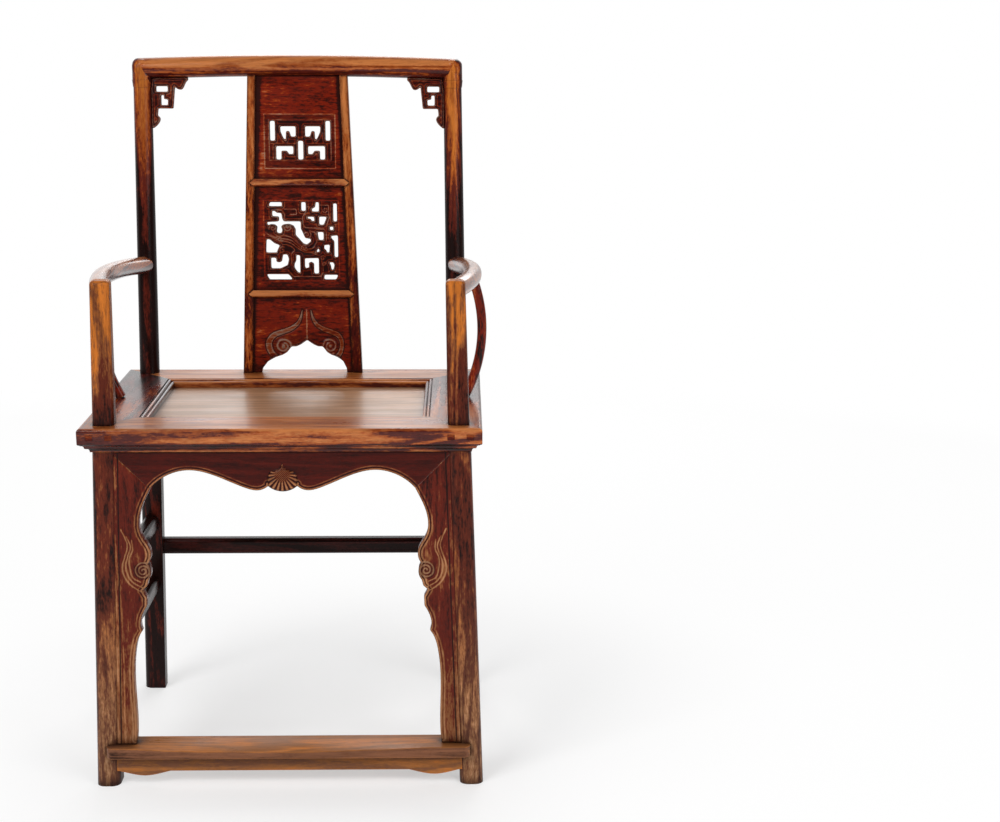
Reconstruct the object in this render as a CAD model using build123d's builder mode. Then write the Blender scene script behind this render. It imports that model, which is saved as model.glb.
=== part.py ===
from build123d import *
import math
import os

# Official's hat armchair: two pairs of through-legs, a mitred seat frame, a three-panel
# openwork splat and a carved arch under the seat.
# Millimetres. The chair faces -Y and +Z is up. "Right" is +X. Right-hand pieces are modelled
# and the left-hand ones are their mirror images. The origin is on the floor, in the middle
# of the chair's overall width and depth.

# ---- seat ----
seat_height = 520.0
seat_width = 546.0
seat_depth = 402.0
seat_thickness = 35.0
seat_rail_width = 72.0
seat_moulding_width = 11.0
seat_recess = 12.0
seat_panel_thickness = 10.0
seat_tongue_length = 7.0
seat_tongue_thickness = 5.0
seat_edge_inset = 14.0
edge_moulding_height = 15.0
edge_round = 4.5
moulding_step = 2.0
batten_width = 34.0
batten_spacing = 180.0
batten_tenon_length = 10.0
batten_tenon_width = 20.0

# ---- legs: each front leg runs up to the arm, each rear leg runs up to the crest ----
leg_size = 33.0
leg_outer_round = 12.0
leg_inner_round = 1.0
front_leg_inset_x = 31.5
front_leg_inset_y = 32.0
front_splay_x = 16.0
front_splay_y = 17.5
rear_leg_inset_x = 35.5
rear_leg_inset_y = 26.0
rear_splay_x = 15.0
rear_splay_y = 11.5

# ---- arm posts and back posts ----
post_size = 30.5
arm_post_top_size = 26.7
arm_post_round = 9.0
arm_post_top_round = 6.0
arm_rise = 196.0
arm_post_lean_x = 4.5
arm_post_lean_y = -7.5
back_post_top_size = 27.5
back_post_lean_x = 5.5
back_head_height = 26.0
back_head_diameter = 30.0
back_head_sink = 0.4
post_trim = 5.0

# ---- crest rail ----
crest_rise = 471.0
crest_diameter = 31.0
crest_crown = 5.5
crest_overhang = 14.0
crest_setback = 37.0
crest_end_round = 9.0
crest_mitre_top = 9.0
crest_mitre_run = 13.0
crest_mitre_drop = 26.0

# ---- arms ----
arm_diameter = 26.0
arm_bow = 25.0
arm_drop = 18.0
arm_arch = 4.0
stick_inset = 24.5
stick_bow = 25.5
stick_depth = 12.0
stick_chamfer = 2.5
stick_base_width = 16.5
stick_top_width = 11.0
stick_socket_depth = 4.5

# ---- splat ----
splat_base_width = 183.0
splat_top_width = 149.0
stile_base_width = 14.4
stile_top_width = 12.0
stile_thickness = 16.0
stile_round = 3.0
splat_rail_height = 11.6
splat_rail_thickness = 19.0
splat_rail_point = 7.0
splat_rail_roundness = 0.42
lower_rail_rise = 121.0
upper_rail_rise = 289.0
panel_thickness = 9.0
panel_tongue = 3.0

# ---- corner brackets ----
bracket_thickness = 9.0
bracket_reach = 54.0
bracket_drop = 73.0
bracket_bed = 10.0

# ---- front apron and its spandrels ----
apron_thickness = 16.0
apron_setback = 3.0
spandrel_width = 45.7
arch_drop = 52.0
shell_half_width = 20.0
shell_height = 39.5
shell_drop = 4.5
shell_hip_share = 0.19
shell_lip = 1.0
shell_relief = 3.5
scroll_drop = 118.5
scroll_radius = 12.5
scroll_inset = 16.0
slender_drop = 109.5
slender_band = 24.2
foot_band = 22.6
foot_inlet_depth = 5.0

# ---- stretchers ----
rear_stretcher_height = 252.0
upper_side_stretcher_height = 294.0
lower_side_stretcher_height = 192.0
stretcher_tall = 26.0
stretcher_deep = 20.0
stretcher_round = 7.0
tenon_tall = 16.0
tenon_thick = 8.0
tenon_stop = 6.0
plain_apron_tall = 45.0
plain_apron_thickness = 12.0
plain_apron_round = 1.5
apron_trim = 6.0

# ---- footrest ----
footrest_height = 62.0
footrest_thickness = 22.0
footrest_overhang = 14.0
footrest_overlap = 14.0
footrest_nose = 5.0
footrest_wear = 10.0
footrest_slope = 1.6
footrest_tenon_tall = 12.0
footrest_tenon_thick = 12.0
foot_apron_tall = 18.0
foot_apron_lobe = 7.0
foot_apron_lobe_width = 72.0
foot_apron_thickness = 12.0

# ---- pegs ----
peg_diameter = 6.5
peg_length = 9.0
corner_plug_width = 10.0
corner_plug_height = 8.0
corner_plug_inset = 16.5
corner_plug_drop = 12.0
corner_plug_spacing = 26.0

os.makedirs("parts", exist_ok=True)

# ---- heights, insets and centre lines worked out from the sizes above ----
seat_underside = seat_height - seat_thickness
arm_height = seat_height + arm_rise
crest_height = seat_height + crest_rise
crest_axis_height = crest_height - crest_diameter / 2
rear_leg_reach = seat_depth / 2 - rear_leg_inset_y
front_extent = seat_depth / 2 + footrest_overhang
rear_extent = rear_leg_reach + crest_setback + crest_diameter / 2
seat_mid_y = (front_extent - rear_extent) / 2
seat_front_y = seat_mid_y - seat_depth / 2
seat_rear_y = seat_mid_y + seat_depth / 2
footrest_front_y = seat_front_y - footrest_overhang

front_knee = (seat_width / 2 - front_leg_inset_x, seat_front_y + front_leg_inset_y)
rear_knee = (seat_width / 2 - rear_leg_inset_x, seat_rear_y - rear_leg_inset_y)
front_foot = (front_knee[0] + front_splay_x, front_knee[1] - front_splay_y)
rear_foot = (rear_knee[0] + rear_splay_x, rear_knee[1] + rear_splay_y)
arm_post_head = (front_knee[0] - arm_post_lean_x, front_knee[1] - arm_post_lean_y)
crest_half_length = rear_knee[0] - back_post_lean_x + crest_overhang


def between(start, end, share):
    """The point at this share of the way from start to end."""
    return tuple(a + (b - a) * share for a, b in zip(start, end))


def front_leg_at(height):
    return between(front_foot, front_knee, height / seat_underside)


def rear_leg_at(height):
    return between(rear_foot, rear_knee, height / seat_underside)


def back_post_at(height):
    """The back post's centre: it leans back and a little inwards, from the knee to the crest."""
    share = (height - seat_underside) / (crest_axis_height - seat_underside)
    head = (rear_knee[0] - back_post_lean_x, rear_knee[1] + crest_setback)
    return between(rear_knee, head, share)


# The front arch lies in a plane that leans with the front legs, and the splat in one that
# leans with the back posts. Each plane faces forwards and its local y runs up the chair.
front_lean = math.atan2(front_splay_y, seat_underside)
back_lean = math.atan2(crest_setback, crest_axis_height - seat_underside)


def leaning_plane(y, z, lean):
    return Plane(origin=(0, y, z), x_dir=(1, 0, 0), z_dir=(0, -math.cos(lean), math.sin(lean)))


front_plane = leaning_plane(front_foot[1] - leg_size / 2 + apron_setback, 0, front_lean)
back_plane = leaning_plane(back_post_at(seat_height)[1], seat_height, back_lean)


def mirrored(part):
    """The same piece on the other side of the chair."""
    with BuildPart() as other_side:
        mirror(part, about=Plane.YZ)
    return other_side.part


def without(piece, *neighbours):
    """The piece with its neighbours' shapes cut out of it, so that they seat face to face."""
    with BuildPart() as fitted:
        add(piece)
        for neighbour in neighbours:
            add(neighbour, mode=Mode.SUBTRACT)
    return fitted.part


# ---------------------------------------------------------------- leg blanks
def leg_section(inner_x, inner_y):
    """The leg's section below the seat, rounded at all but its inner corner."""
    with BuildSketch() as section:
        Rectangle(leg_size, leg_size)
        corners = section.vertices().sort_by(lambda v: v.X * inner_x + v.Y * inner_y)
        fillet(corners[:3], radius=leg_outer_round)
        inner = section.vertices().sort_by(lambda v: v.X * inner_x + v.Y * inner_y)[-1]
        fillet(inner, radius=leg_inner_round)
    return section.sketch


def straight_post(section, foot, head, narrowing=0.0):
    """A straight post from foot to head, cut off level at both. The section is square to its
    centre line, and it narrows evenly by this much on the way up."""
    foot, head = Vector(foot), Vector(head)
    along = head - foot
    trim = along * (post_trim / along.length)
    with BuildPart() as post:
        with BuildSketch(Plane(origin=foot - trim, x_dir=(1, 0, 0), z_dir=along)):
            add(section)
        extrude(amount=along.length + 2 * post_trim,
                taper=math.degrees(math.atan(narrowing / 2 / along.length)))
        split(bisect_by=Plane.XY.offset(foot.Z), keep=Keep.TOP)
        split(bisect_by=Plane.XY.offset(head.Z), keep=Keep.BOTTOM)
    return post.part


def at_height(centre, height):
    return (*centre, height)


with BuildSketch() as arm_post_section:
    RectangleRounded(post_size, post_size, arm_post_round)


def round_section(diameter):
    with BuildSketch() as section:
        Circle(diameter / 2)
    return section.sketch


with BuildPart() as front_leg_blank:
    add(straight_post(arm_post_section.sketch, at_height(front_knee, seat_underside),
                      at_height(arm_post_head, arm_height), post_size - arm_post_top_size))
    fillet(front_leg_blank.faces().sort_by(Axis.Z)[-1].edges(), radius=arm_post_top_round)
    add(straight_post(leg_section(-1, 1), at_height(front_foot, 0),
                      at_height(front_knee, seat_underside)))

head_foot_height = crest_height - crest_diameter
neck_height = crest_axis_height - back_head_height


def back_post_stretch(low, high, low_diameter, high_diameter):
    """A round, evenly tapering stretch of the back post between two heights."""
    return straight_post(round_section(low_diameter), at_height(back_post_at(low), low),
                         at_height(back_post_at(high), high), low_diameter - high_diameter)


with BuildPart() as back_post_head:
    add(back_post_stretch(neck_height, head_foot_height, back_post_top_size, back_head_diameter))
    add(back_post_stretch(head_foot_height, crest_height - back_head_sink, back_head_diameter,
                          back_head_diameter))
    fillet(back_post_head.faces().sort_by(Axis.Z)[-1].edges(), radius=crest_end_round)

with BuildPart() as rear_leg_blank:
    add(straight_post(leg_section(-1, -1), at_height(rear_foot, 0),
                      at_height(rear_knee, seat_underside)))
    add(back_post_stretch(seat_underside, neck_height, post_size, back_post_top_size))
    add(back_post_head.part)

# ---------------------------------------------------------------- crest rail and back legs
crest_y = back_post_at(crest_axis_height)[1]
crest_end_slope = 2 * math.atan(crest_crown / crest_half_length)

with BuildPart() as crest_blank:
    with BuildLine():
        ThreePointArc((-crest_half_length, crest_y, crest_axis_height),
                      (0, crest_y, crest_axis_height + crest_crown),
                      (crest_half_length, crest_y, crest_axis_height))
    with BuildSketch(Plane(origin=(-crest_half_length, crest_y, crest_axis_height),
                           z_dir=(math.cos(crest_end_slope), 0, math.sin(crest_end_slope)))):
        Circle(crest_diameter / 2)
    sweep()
    fillet(crest_blank.edges().group_by(Axis.X)[0], radius=crest_end_round)
    fillet(crest_blank.edges().group_by(Axis.X)[-1], radius=crest_end_round)


def mitre_plane(side):
    """The steep joint between the crest and a back post, as one pipe meets another."""
    return Plane(origin=(side * (crest_half_length - crest_mitre_top), crest_y, crest_height),
                 x_dir=(0, 1, 0), z_dir=(side * crest_mitre_drop, 0, -crest_mitre_run))


with BuildPart() as crest_rail:
    add(crest_blank.part)
    add(back_post_head.part)
    add(mirrored(back_post_head.part))
    for side in (-1, 1):
        split(bisect_by=mitre_plane(side), keep=Keep.BOTTOM)

with BuildPart() as rear_leg_mitred:
    add(rear_leg_blank.part)
    add(crest_blank.part)
    split(bisect_by=mitre_plane(1), keep=Keep.TOP)


# ---------------------------------------------------------------- seat frame and panel
panel_top = -seat_recess
panel_bottom = panel_top - seat_panel_thickness
tongue_top = panel_top - (seat_panel_thickness - seat_tongue_thickness) / 2
tongue_bottom = tongue_top - seat_tongue_thickness
rail_inner = seat_rail_width + seat_moulding_width
opening_width = seat_width - 2 * rail_inner
opening_depth = seat_depth - 2 * rail_inner

# The edge moulding steps in under the seat as three rounds, each a share of its width and height.
edge_beads = [[(seat_edge_inset * inwards, -seat_thickness + edge_moulding_height * up)
               for inwards, up in bead]
              for bead in (((1, 0), (0.91, 0.28), (0.64, 0.37)),
                           ((0.57, 0.43), (0.46, 0.65), (0.25, 0.73)),
                           ((0.18, 0.8), (0.05, 0.86), (0, 1)))]


def seat_rail_blank(outer_middle, inward, half_length):
    """A seat rail: its edge moulding, its top and its inner moulding with a groove for the
    panel, drawn as distance in from the edge and height above the seat, then mitred."""
    inward = Vector(inward)
    along = inward.cross(Vector(0, 0, 1))
    middle = Vector(outer_middle)
    ridge = seat_moulding_width / 2
    with BuildPart() as rail:
        with BuildSketch(Plane(origin=middle, x_dir=inward, z_dir=along)):
            with BuildLine():
                Line((edge_round, 0), (seat_rail_width, 0))
                Line((seat_rail_width, 0), (seat_rail_width, -moulding_step))
                ThreePointArc((seat_rail_width, -moulding_step),
                              (seat_rail_width + ridge / 2, -moulding_step / 4),
                              (seat_rail_width + ridge, -2 * moulding_step))
                ThreePointArc((seat_rail_width + ridge, -2 * moulding_step),
                              (seat_rail_width + 1.5 * ridge, -1.4 * moulding_step),
                              (rail_inner, -3 * moulding_step))
                Polyline((rail_inner, -3 * moulding_step), (rail_inner, tongue_top),
                         (rail_inner - seat_tongue_length, tongue_top),
                         (rail_inner - seat_tongue_length, tongue_bottom),
                         (rail_inner, tongue_bottom), (rail_inner, -seat_thickness),
                         (seat_edge_inset, -seat_thickness))
                for bead in edge_beads:
                    ThreePointArc(*bead)
                for bead, next_bead in zip(edge_beads, edge_beads[1:]):
                    Line(bead[-1], next_bead[0])
                Line(edge_beads[-1][-1], (0, -edge_round))
                RadiusArc((0, -edge_round), (edge_round, 0), edge_round)
            make_face()
        extrude(amount=half_length, both=True)
        for end in (-1, 1):
            split(bisect_by=Plane(origin=middle + along * (end * half_length),
                                  x_dir=(0, 0, 1), z_dir=along * end + inward),
                  keep=Keep.BOTTOM)
    return rail.part


leg_blanks = [front_leg_blank.part, mirrored(front_leg_blank.part),
              rear_leg_blank.part, mirrored(rear_leg_blank.part)]
front_rail_blank = seat_rail_blank((0, seat_front_y, seat_height), (0, 1, 0), seat_width / 2)
rear_rail_blank = seat_rail_blank((0, seat_rear_y, seat_height), (0, -1, 0), seat_width / 2)
right_rail_blank = seat_rail_blank((seat_width / 2, seat_mid_y, seat_height), (-1, 0, 0),
                                   seat_depth / 2)

with BuildPart() as seat_panel:
    with BuildSketch(Plane.XY.offset(seat_height + panel_bottom)):
        with Locations((0, seat_mid_y)):
            Rectangle(opening_width, opening_depth)
    extrude(amount=seat_panel_thickness)
    with BuildSketch(Plane.XY.offset(seat_height + tongue_bottom)):
        with Locations((0, seat_mid_y)):
            Rectangle(opening_width + 2 * seat_tongue_length, opening_depth + 2 * seat_tongue_length)
    extrude(amount=seat_tongue_thickness)


def batten(x):
    """A cross-batten under the panel, tenoned into the front and rear rails."""
    height = seat_thickness + panel_bottom
    with BuildPart() as bar:
        with BuildSketch(Plane.XY.offset(seat_underside)):
            with Locations((x, seat_mid_y)):
                Rectangle(batten_width, opening_depth)
        extrude(amount=height)
        with BuildSketch(Plane.XY.offset(seat_underside + height / 4)):
            with Locations((x, seat_mid_y)):
                Rectangle(batten_tenon_width, opening_depth + 2 * batten_tenon_length)
        extrude(amount=height / 2)
    return bar.part


batten_right = batten(batten_spacing / 2)
battens = [batten_right, mirrored(batten_right)]


# ---------------------------------------------------------------- splat
splat_top_rise = crest_height - crest_diameter / 2 - seat_height


def stile_outer(rise):
    """Half the splat's width at this height above the seat: it narrows upwards."""
    return (splat_base_width - (splat_base_width - splat_top_width) * rise / splat_top_rise) / 2


def stile_inner(rise):
    width = stile_base_width - (stile_base_width - stile_top_width) * rise / splat_top_rise
    return stile_outer(rise) - width


def splat_rail(rise):
    """A half-round cross-rail whose pointed ends are let into the stiles' faces."""
    reach = stile_inner(rise)
    half = splat_rail_height / 2
    with BuildPart() as rail:
        with BuildSketch(back_plane.offset(-stile_thickness / 2)):
            with BuildLine():
                Polyline((-reach - splat_rail_point, rise), (-reach, rise + half),
                         (reach, rise + half), (reach + splat_rail_point, rise),
                         (reach, rise - half), (-reach, rise - half), close=True)
            make_face()
        extrude(amount=splat_rail_thickness)
        long_edges = rail.edges().filter_by(Axis.X).group_by(Axis.Y)[0]
        fillet(long_edges, radius=splat_rail_height * splat_rail_roundness)
    return rail.part


def splat_panel(low, high, openings):
    """A board between the stiles, with its pierced work cut right through."""
    with BuildPart() as board:
        with BuildSketch(back_plane.offset(-panel_thickness / 2)):
            with BuildLine():
                Polyline((-stile_inner(low) - panel_tongue, low),
                         (stile_inner(low) + panel_tongue, low),
                         (stile_inner(high) + panel_tongue, high),
                         (-stile_inner(high) - panel_tongue, high), close=True)
            make_face()
            for outline in openings:
                with BuildLine():
                    Polyline(*outline, close=True)
                make_face(mode=Mode.SUBTRACT)
        extrude(amount=panel_thickness)
    return board.part


def flipped(outline):
    return [(-x, rise) for x, rise in outline]


def fitted(outlines, low, high, drawn_half_width, drawn_height):
    """Piercings drawn on a field of this half-width and height, with heights measured from its
    foot, spread over the splat's own field from low to high."""
    across = stile_inner((low + high) / 2) / drawn_half_width
    upwards = (high - low) / drawn_height
    return [[(x * across, low + y * upwards) for x, y in outline] for outline in outlines]


# Key-fret piercings of the top panel: two slots, four hooks and a centre slot.
fret_slot = [(38, 63), (45.5, 63), (45.5, 92), (38, 92)]
fret_upper_hook = [(7, 84), (30.5, 84), (30, 76), (26, 67), (22, 63), (21.5, 77),
                   (17, 77.5), (14.5, 69), (7, 69)]
fret_lower_hook = [(11, 54.5), (37, 54.5), (37, 35), (29, 35), (29, 48), (21, 48),
                   (18, 43), (11, 43)]
fret_centre_slot = [(-4, 35), (4, 35), (4, 62.5), (-4, 62.5)]
top_openings = [fret_centre_slot]
for outline in (fret_slot, fret_upper_hook, fret_lower_hook):
    top_openings += [outline, flipped(outline)]

# Piercings round the scrolling dragon of the middle panel, from the top left.
middle_openings = [
    [(-50, 133), (-30, 133), (-30, 139), (-48, 139)],
    [(-45, 126), (-41, 126), (-38, 123), (-31, 122.5), (-30, 115), (-28, 110), (-2, 110),
     (-2, 99), (1, 93), (4.5, 85), (13, 83.5), (13, 80), (6.5, 75), (1, 77),
     (-10.5, 90), (-10, 98), (-13.5, 104), (-20, 106.5), (-29, 105.5), (-32, 102.5),
     (-30, 98), (-31, 93), (-35, 92), (-39, 94), (-37.5, 102), (-41, 105.5),
     (-47, 106), (-52, 104), (-53, 109), (-35, 110), (-35, 117.5), (-45, 118)],
    [(-1, 126), (6, 126), (6, 139), (-1, 139)],
    [(15, 125), (26, 125), (26, 139), (21, 139), (20, 131), (15, 129)],
    [(48, 110), (54, 110), (54, 137), (48, 137)],
    [(26, 105), (33, 105), (38, 117), (26, 117)],
    [(8, 114), (13, 114), (14, 111), (19, 110), (18.5, 117), (8, 117)],
    [(42, 97), (48, 97), (48, 102), (42, 102)],
    [(25, 82), (32.5, 82), (32.5, 94), (23, 94)],
    [(44, 85), (49, 80), (49, 56), (55, 56), (55, 89), (44, 88)],
    [(33, 68), (36, 67), (37, 63), (41, 63), (42, 75), (33, 74)],
    [(20, 63), (26, 64), (25, 71)],
    [(-55, 63), (-39, 63), (-37, 69), (-34, 74), (-42, 77), (-49, 83), (-54, 83)],
    [(-48, 39), (-34, 39), (-23, 44), (-21, 53), (-23, 60), (-30, 60), (-32, 49),
     (-36, 48), (-40, 49), (-40, 55), (-48, 55)],
    [(-13, 45), (-13, 40), (-9, 34), (-4, 31), (-4, 59), (-10, 59), (-10, 51)],
    [(3, 40), (6, 39), (10, 41), (9, 47.5), (13, 49), (17, 46), (17, 31), (24.5, 31),
     (24.5, 54.5), (3, 54)],
    [(40, 48), (43, 43), (44, 36), (47, 37), (49, 44), (47, 48)],
    [(-51, 22), (-15, 22), (-22, 30), (-55, 30)],
    [(32, 22), (51, 22), (55, 29), (33, 29)],
]

# Half of the cloud-scroll arch under the bottom panel, from the seat up to its peak.
scroll_arch_half = [(65, 6), (58, 17), (48, 23.5), (38, 27), (31, 31), (24, 40), (17, 40),
                    (10, 43), (0, 50)]
arch_corner = (scroll_arch_half[0][0] + 1, -panel_thickness)
bottom_opening = (flipped([arch_corner] + scroll_arch_half)
                  + list(reversed([arch_corner] + scroll_arch_half[:-1])))

# The fields that the piercings above are drawn on: half-width, then height between rails.
bottom_field = (75.2, 121)
middle_field = (70.5, 168)
top_field = (65.2, 166.5)
bottom_pierced = fitted([bottom_opening], 0, lower_rail_rise, *bottom_field)
middle_pierced = fitted(middle_openings, lower_rail_rise, upper_rail_rise, *middle_field)
top_pierced = fitted(top_openings, upper_rail_rise, splat_top_rise, *top_field)

rail_half = splat_rail_height / 2
bottom_blank = splat_panel(-panel_thickness, lower_rail_rise - rail_half + panel_tongue,
                           bottom_pierced)
middle_blank = splat_panel(lower_rail_rise + rail_half - panel_tongue,
                           upper_rail_rise - rail_half + panel_tongue, middle_pierced)
top_blank = splat_panel(upper_rail_rise + rail_half - panel_tongue,
                        splat_top_rise + crest_diameter / 2, top_pierced)

with BuildPart() as splat_panel_bottom:
    add(bottom_blank)
    split(bisect_by=Plane.XY.offset(seat_height), keep=Keep.TOP)

splat_panel_top = without(top_blank, crest_blank.part)
panels = [splat_panel_bottom.part, middle_blank, splat_panel_top]

splat_rail_lower = without(splat_rail(lower_rail_rise), *panels)
splat_rail_upper = without(splat_rail(upper_rail_rise), *panels)

with BuildPart() as stile_blank:
    low, high = -stile_thickness, splat_top_rise + crest_diameter / 2
    with BuildSketch(back_plane.offset(-stile_thickness / 2)):
        with BuildLine():
            Polyline((stile_inner(low), low), (stile_outer(low), low),
                     (stile_outer(high), high), (stile_inner(high), high), close=True)
        make_face()
    extrude(amount=stile_thickness)
    front_edges = stile_blank.faces().sort_by(Axis.Y)[0].edges().filter_by(
        lambda edge: abs(edge.tangent_at(0).X) < 0.5)
    fillet(front_edges, radius=stile_round)
    split(bisect_by=Plane.XY.offset(seat_height), keep=Keep.TOP)

stile_right = without(stile_blank.part, crest_blank.part, splat_rail_lower, splat_rail_upper,
                      *panels)


# ---------------------------------------------------------------- corner brackets
bracket_post_x = back_post_at(crest_axis_height)[0] - back_post_top_size / 2
bracket_top = splat_top_rise - crest_diameter / 2 + crest_crown / 2


def bracket_point(inwards, down):
    """A point in from the post and down from the crest, as shares of the reach and drop."""
    return (bracket_post_x - bracket_reach * inwards, bracket_top - bracket_drop * down)


def bracket_points(*shares):
    return [bracket_point(inwards, down) for inwards, down in shares]


with BuildPart() as bracket_blank:
    tip = bracket_point(1, 0.03)
    toe = bracket_point(0, 1)
    lobe_end = bracket_point(0.63, 0.15)
    beak = bracket_point(0.13, 0.74)
    with BuildSketch(back_plane.offset(-bracket_thickness / 2)):
        with BuildLine():
            Polyline((bracket_post_x + bracket_bed, toe[1]),
                     (bracket_post_x + bracket_bed, bracket_top + bracket_bed),
                     (tip[0], bracket_top + bracket_bed), tip)
            Spline(tip, *bracket_points((0.91, 0.11), (0.8, 0.22), (0.7, 0.2)), lobe_end)
            Polyline(lobe_end, *bracket_points((0.57, 0.6), (0.15, 0.6)), beak)
            Spline(beak, *bracket_points((0.2, 0.81), (0.15, 0.9)), toe)
            Line(toe, (bracket_post_x + bracket_bed, toe[1]))
        make_face()
        for opening in (bracket_points((0.11, 0.15), (0.44, 0.15), (0.44, 0.26), (0.11, 0.26)),
                        bracket_points((0.24, 0.33), (0.33, 0.33), (0.33, 0.41), (0.44, 0.42),
                                       (0.43, 0.53), (0.24, 0.53))):
            with BuildLine():
                Polyline(*opening, close=True)
            make_face(mode=Mode.SUBTRACT)
    extrude(amount=bracket_thickness)

bracket_right = without(bracket_blank.part, rear_leg_blank.part, crest_blank.part)


# ---------------------------------------------------------------- arms and their sticks
arm_axis_height = arm_height - arm_diameter / 2
arm_rear_height = arm_axis_height - arm_drop
arm_rear_x, arm_rear_y = back_post_at(arm_rear_height)
arm_mid_x = (arm_post_head[0] + arm_rear_x) / 2
arm_mid_y = (arm_post_head[1] + arm_rear_y) / 2
arm_mid_height = (arm_axis_height + arm_rear_height) / 2 + arm_arch

# The arm is a round rail bent to an arc, which bows outwards and a little upwards.
with BuildPart() as arm_blank:
    with BuildLine() as arm_line:
        ThreePointArc((*arm_post_head, arm_axis_height),
                      (arm_mid_x + arm_bow, arm_mid_y, arm_mid_height),
                      (arm_rear_x, arm_rear_y, arm_rear_height))
    with BuildSketch(Plane(origin=arm_line.line @ 0, z_dir=arm_line.line % 0)):
        Circle(arm_diameter / 2)
    sweep()

arm_right = without(arm_blank.part, front_leg_blank.part, rear_leg_blank.part)

# The stick stands on the seat, bows outwards and is let into the underside of the arm.
stick_base_x = seat_width / 2 - stick_inset
stick_head_x = arm_mid_x + arm_bow
stick_head_height = arm_mid_height - stick_socket_depth
stick_mid_x = stick_base_x + stick_bow
stick_mid_width = (stick_base_width + stick_top_width) / 2


def stick_edge(side):
    """The stick's outline on one side of its centre line, from the seat up."""
    return ThreePointArc((stick_base_x + side * stick_base_width / 2, seat_height),
                         (stick_mid_x + side * stick_mid_width / 2,
                          (seat_height + stick_head_height) / 2),
                         (stick_head_x + side * stick_top_width / 2, stick_head_height))


with BuildPart() as stick_blank:
    with BuildSketch(Plane.XZ.offset(-seat_mid_y)):
        with BuildLine():
            inner_edge = stick_edge(-1)
            outer_edge = stick_edge(1)
            Line(inner_edge @ 0, outer_edge @ 0)
            Line(inner_edge @ 1, outer_edge @ 1)
        make_face()
    extrude(amount=stick_depth / 2, both=True)
    chamfer(stick_blank.edges().filter_by(GeomType.CIRCLE), length=stick_chamfer)

stick_right = without(stick_blank.part, arm_right)


# ---------------------------------------------------------------- arch under the seat
# The apron and the spandrels meet in mitres that run up to the seat from the arch's ends.
arch_spring = seat_underside - arch_drop
arch_half_width = front_leg_at(arch_spring)[0] - leg_size / 2 - spandrel_width
mitre_foot = (arch_half_width, arch_spring)
mitre_head = (front_knee[0], arch_spring + front_knee[0] - arch_half_width)
shell_foot = arch_spring - shell_drop
shell_hip = shell_foot + shell_hip_share * shell_height
cusp = (shell_half_width, shell_hip)


def arch_point(outwards, rise):
    """A point on the apron's lower edge: a share of the way from the cusp to the arch's end."""
    return (cusp[0] + (arch_half_width - cusp[0]) * outwards, arch_spring + rise)


arch_curve = [cusp, arch_point(0.09, -3), arch_point(0.2, 1), arch_point(0.42, 16),
              arch_point(0.67, 25.5), arch_point(0.88, 16), mitre_foot]
shell_curve = [(shell_half_width * across, shell_foot + shell_height * up)
               for across, up in ((0.95, 0.21), (1, 0.47), (0.85, 0.67), (0.4, 0.77), (0, 1))]

with BuildPart() as front_apron_board:
    with BuildSketch(front_plane):
        with BuildLine():
            Polyline(*flipped([mitre_foot, mitre_head]), mitre_head, mitre_foot)
            Spline(*arch_curve)
            Spline(*flipped(arch_curve))
            ThreePointArc(*flipped([cusp]), (0, shell_foot), cusp)
        make_face()
    extrude(amount=-apron_thickness)
    # the shell at the middle of the arch stands proud of the board
    with BuildSketch(front_plane):
        with BuildLine():
            ThreePointArc(*flipped(shell_curve[:1]), (0, shell_foot + shell_lip),
                          shell_curve[0])
            Spline(*shell_curve)
            Spline(*flipped(shell_curve))
        make_face()
    extrude(amount=shell_relief)
    split(bisect_by=Plane.XY.offset(seat_underside), keep=Keep.BOTTOM)

scroll_centre = (arch_half_width + scroll_inset, arch_spring - scroll_drop)


def from_arch(outwards, down):
    """A point on the spandrel's edge, measured out and down from the arch's end."""
    return (arch_half_width + outwards, arch_spring - down)


def from_scroll(outwards, rise):
    """A point on the spandrel's edge, measured out and up from the scroll's centre."""
    return (scroll_centre[0] + outwards, scroll_centre[1] + rise)


def by_leg(band, height):
    """A point this far in from the front leg's inner face, at this height."""
    return (front_leg_at(height)[0] - leg_size / 2 - band, height)


neck = from_scroll(-8.5, scroll_radius - 0.5)
chin = from_scroll(-8, -scroll_radius)
tail = from_scroll(-4.5, -49.5)
ankle = from_scroll(3, -85.5)
slender_height = scroll_centre[1] - slender_drop
foot_inlet = footrest_height - foot_inlet_depth

with BuildPart() as spandrel_board:
    with BuildSketch(front_plane):
        with BuildLine():
            Spline(mitre_foot, from_arch(8.5, 17), from_arch(15, 34), from_arch(17.3, 48),
                   from_arch(15.5, 64), from_arch(9, 76.5), from_arch(4, 86), from_arch(3, 96), neck)
            ThreePointArc(neck, from_scroll(-scroll_radius, 0), chin)
            Polyline(chin, from_scroll(-6, -20.5), from_scroll(0.5, -26.5), from_scroll(-5, -36.5),
                     tail)
            Spline(tail, from_scroll(2, -61.5), from_scroll(5, -73.5), ankle)
            Spline(ankle, from_scroll(9, -95.5), by_leg(slender_band, slender_height),
                   by_leg(foot_band, (slender_height + foot_inlet) / 2),
                   by_leg(foot_band, foot_inlet))
            Polyline(by_leg(foot_band, foot_inlet), (front_foot[0], foot_inlet), mitre_head,
                     mitre_foot)
        make_face()
        with Locations(scroll_centre):
            Circle(scroll_radius)
    extrude(amount=-apron_thickness)
    split(bisect_by=Plane.XY.offset(seat_underside), keep=Keep.BOTTOM)
    split(bisect_by=Plane.XY.offset(footrest_height), keep=Keep.TOP)

front_apron = without(front_apron_board.part, *leg_blanks[:2])
spandrel_right = without(spandrel_board.part, front_leg_blank.part)


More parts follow.
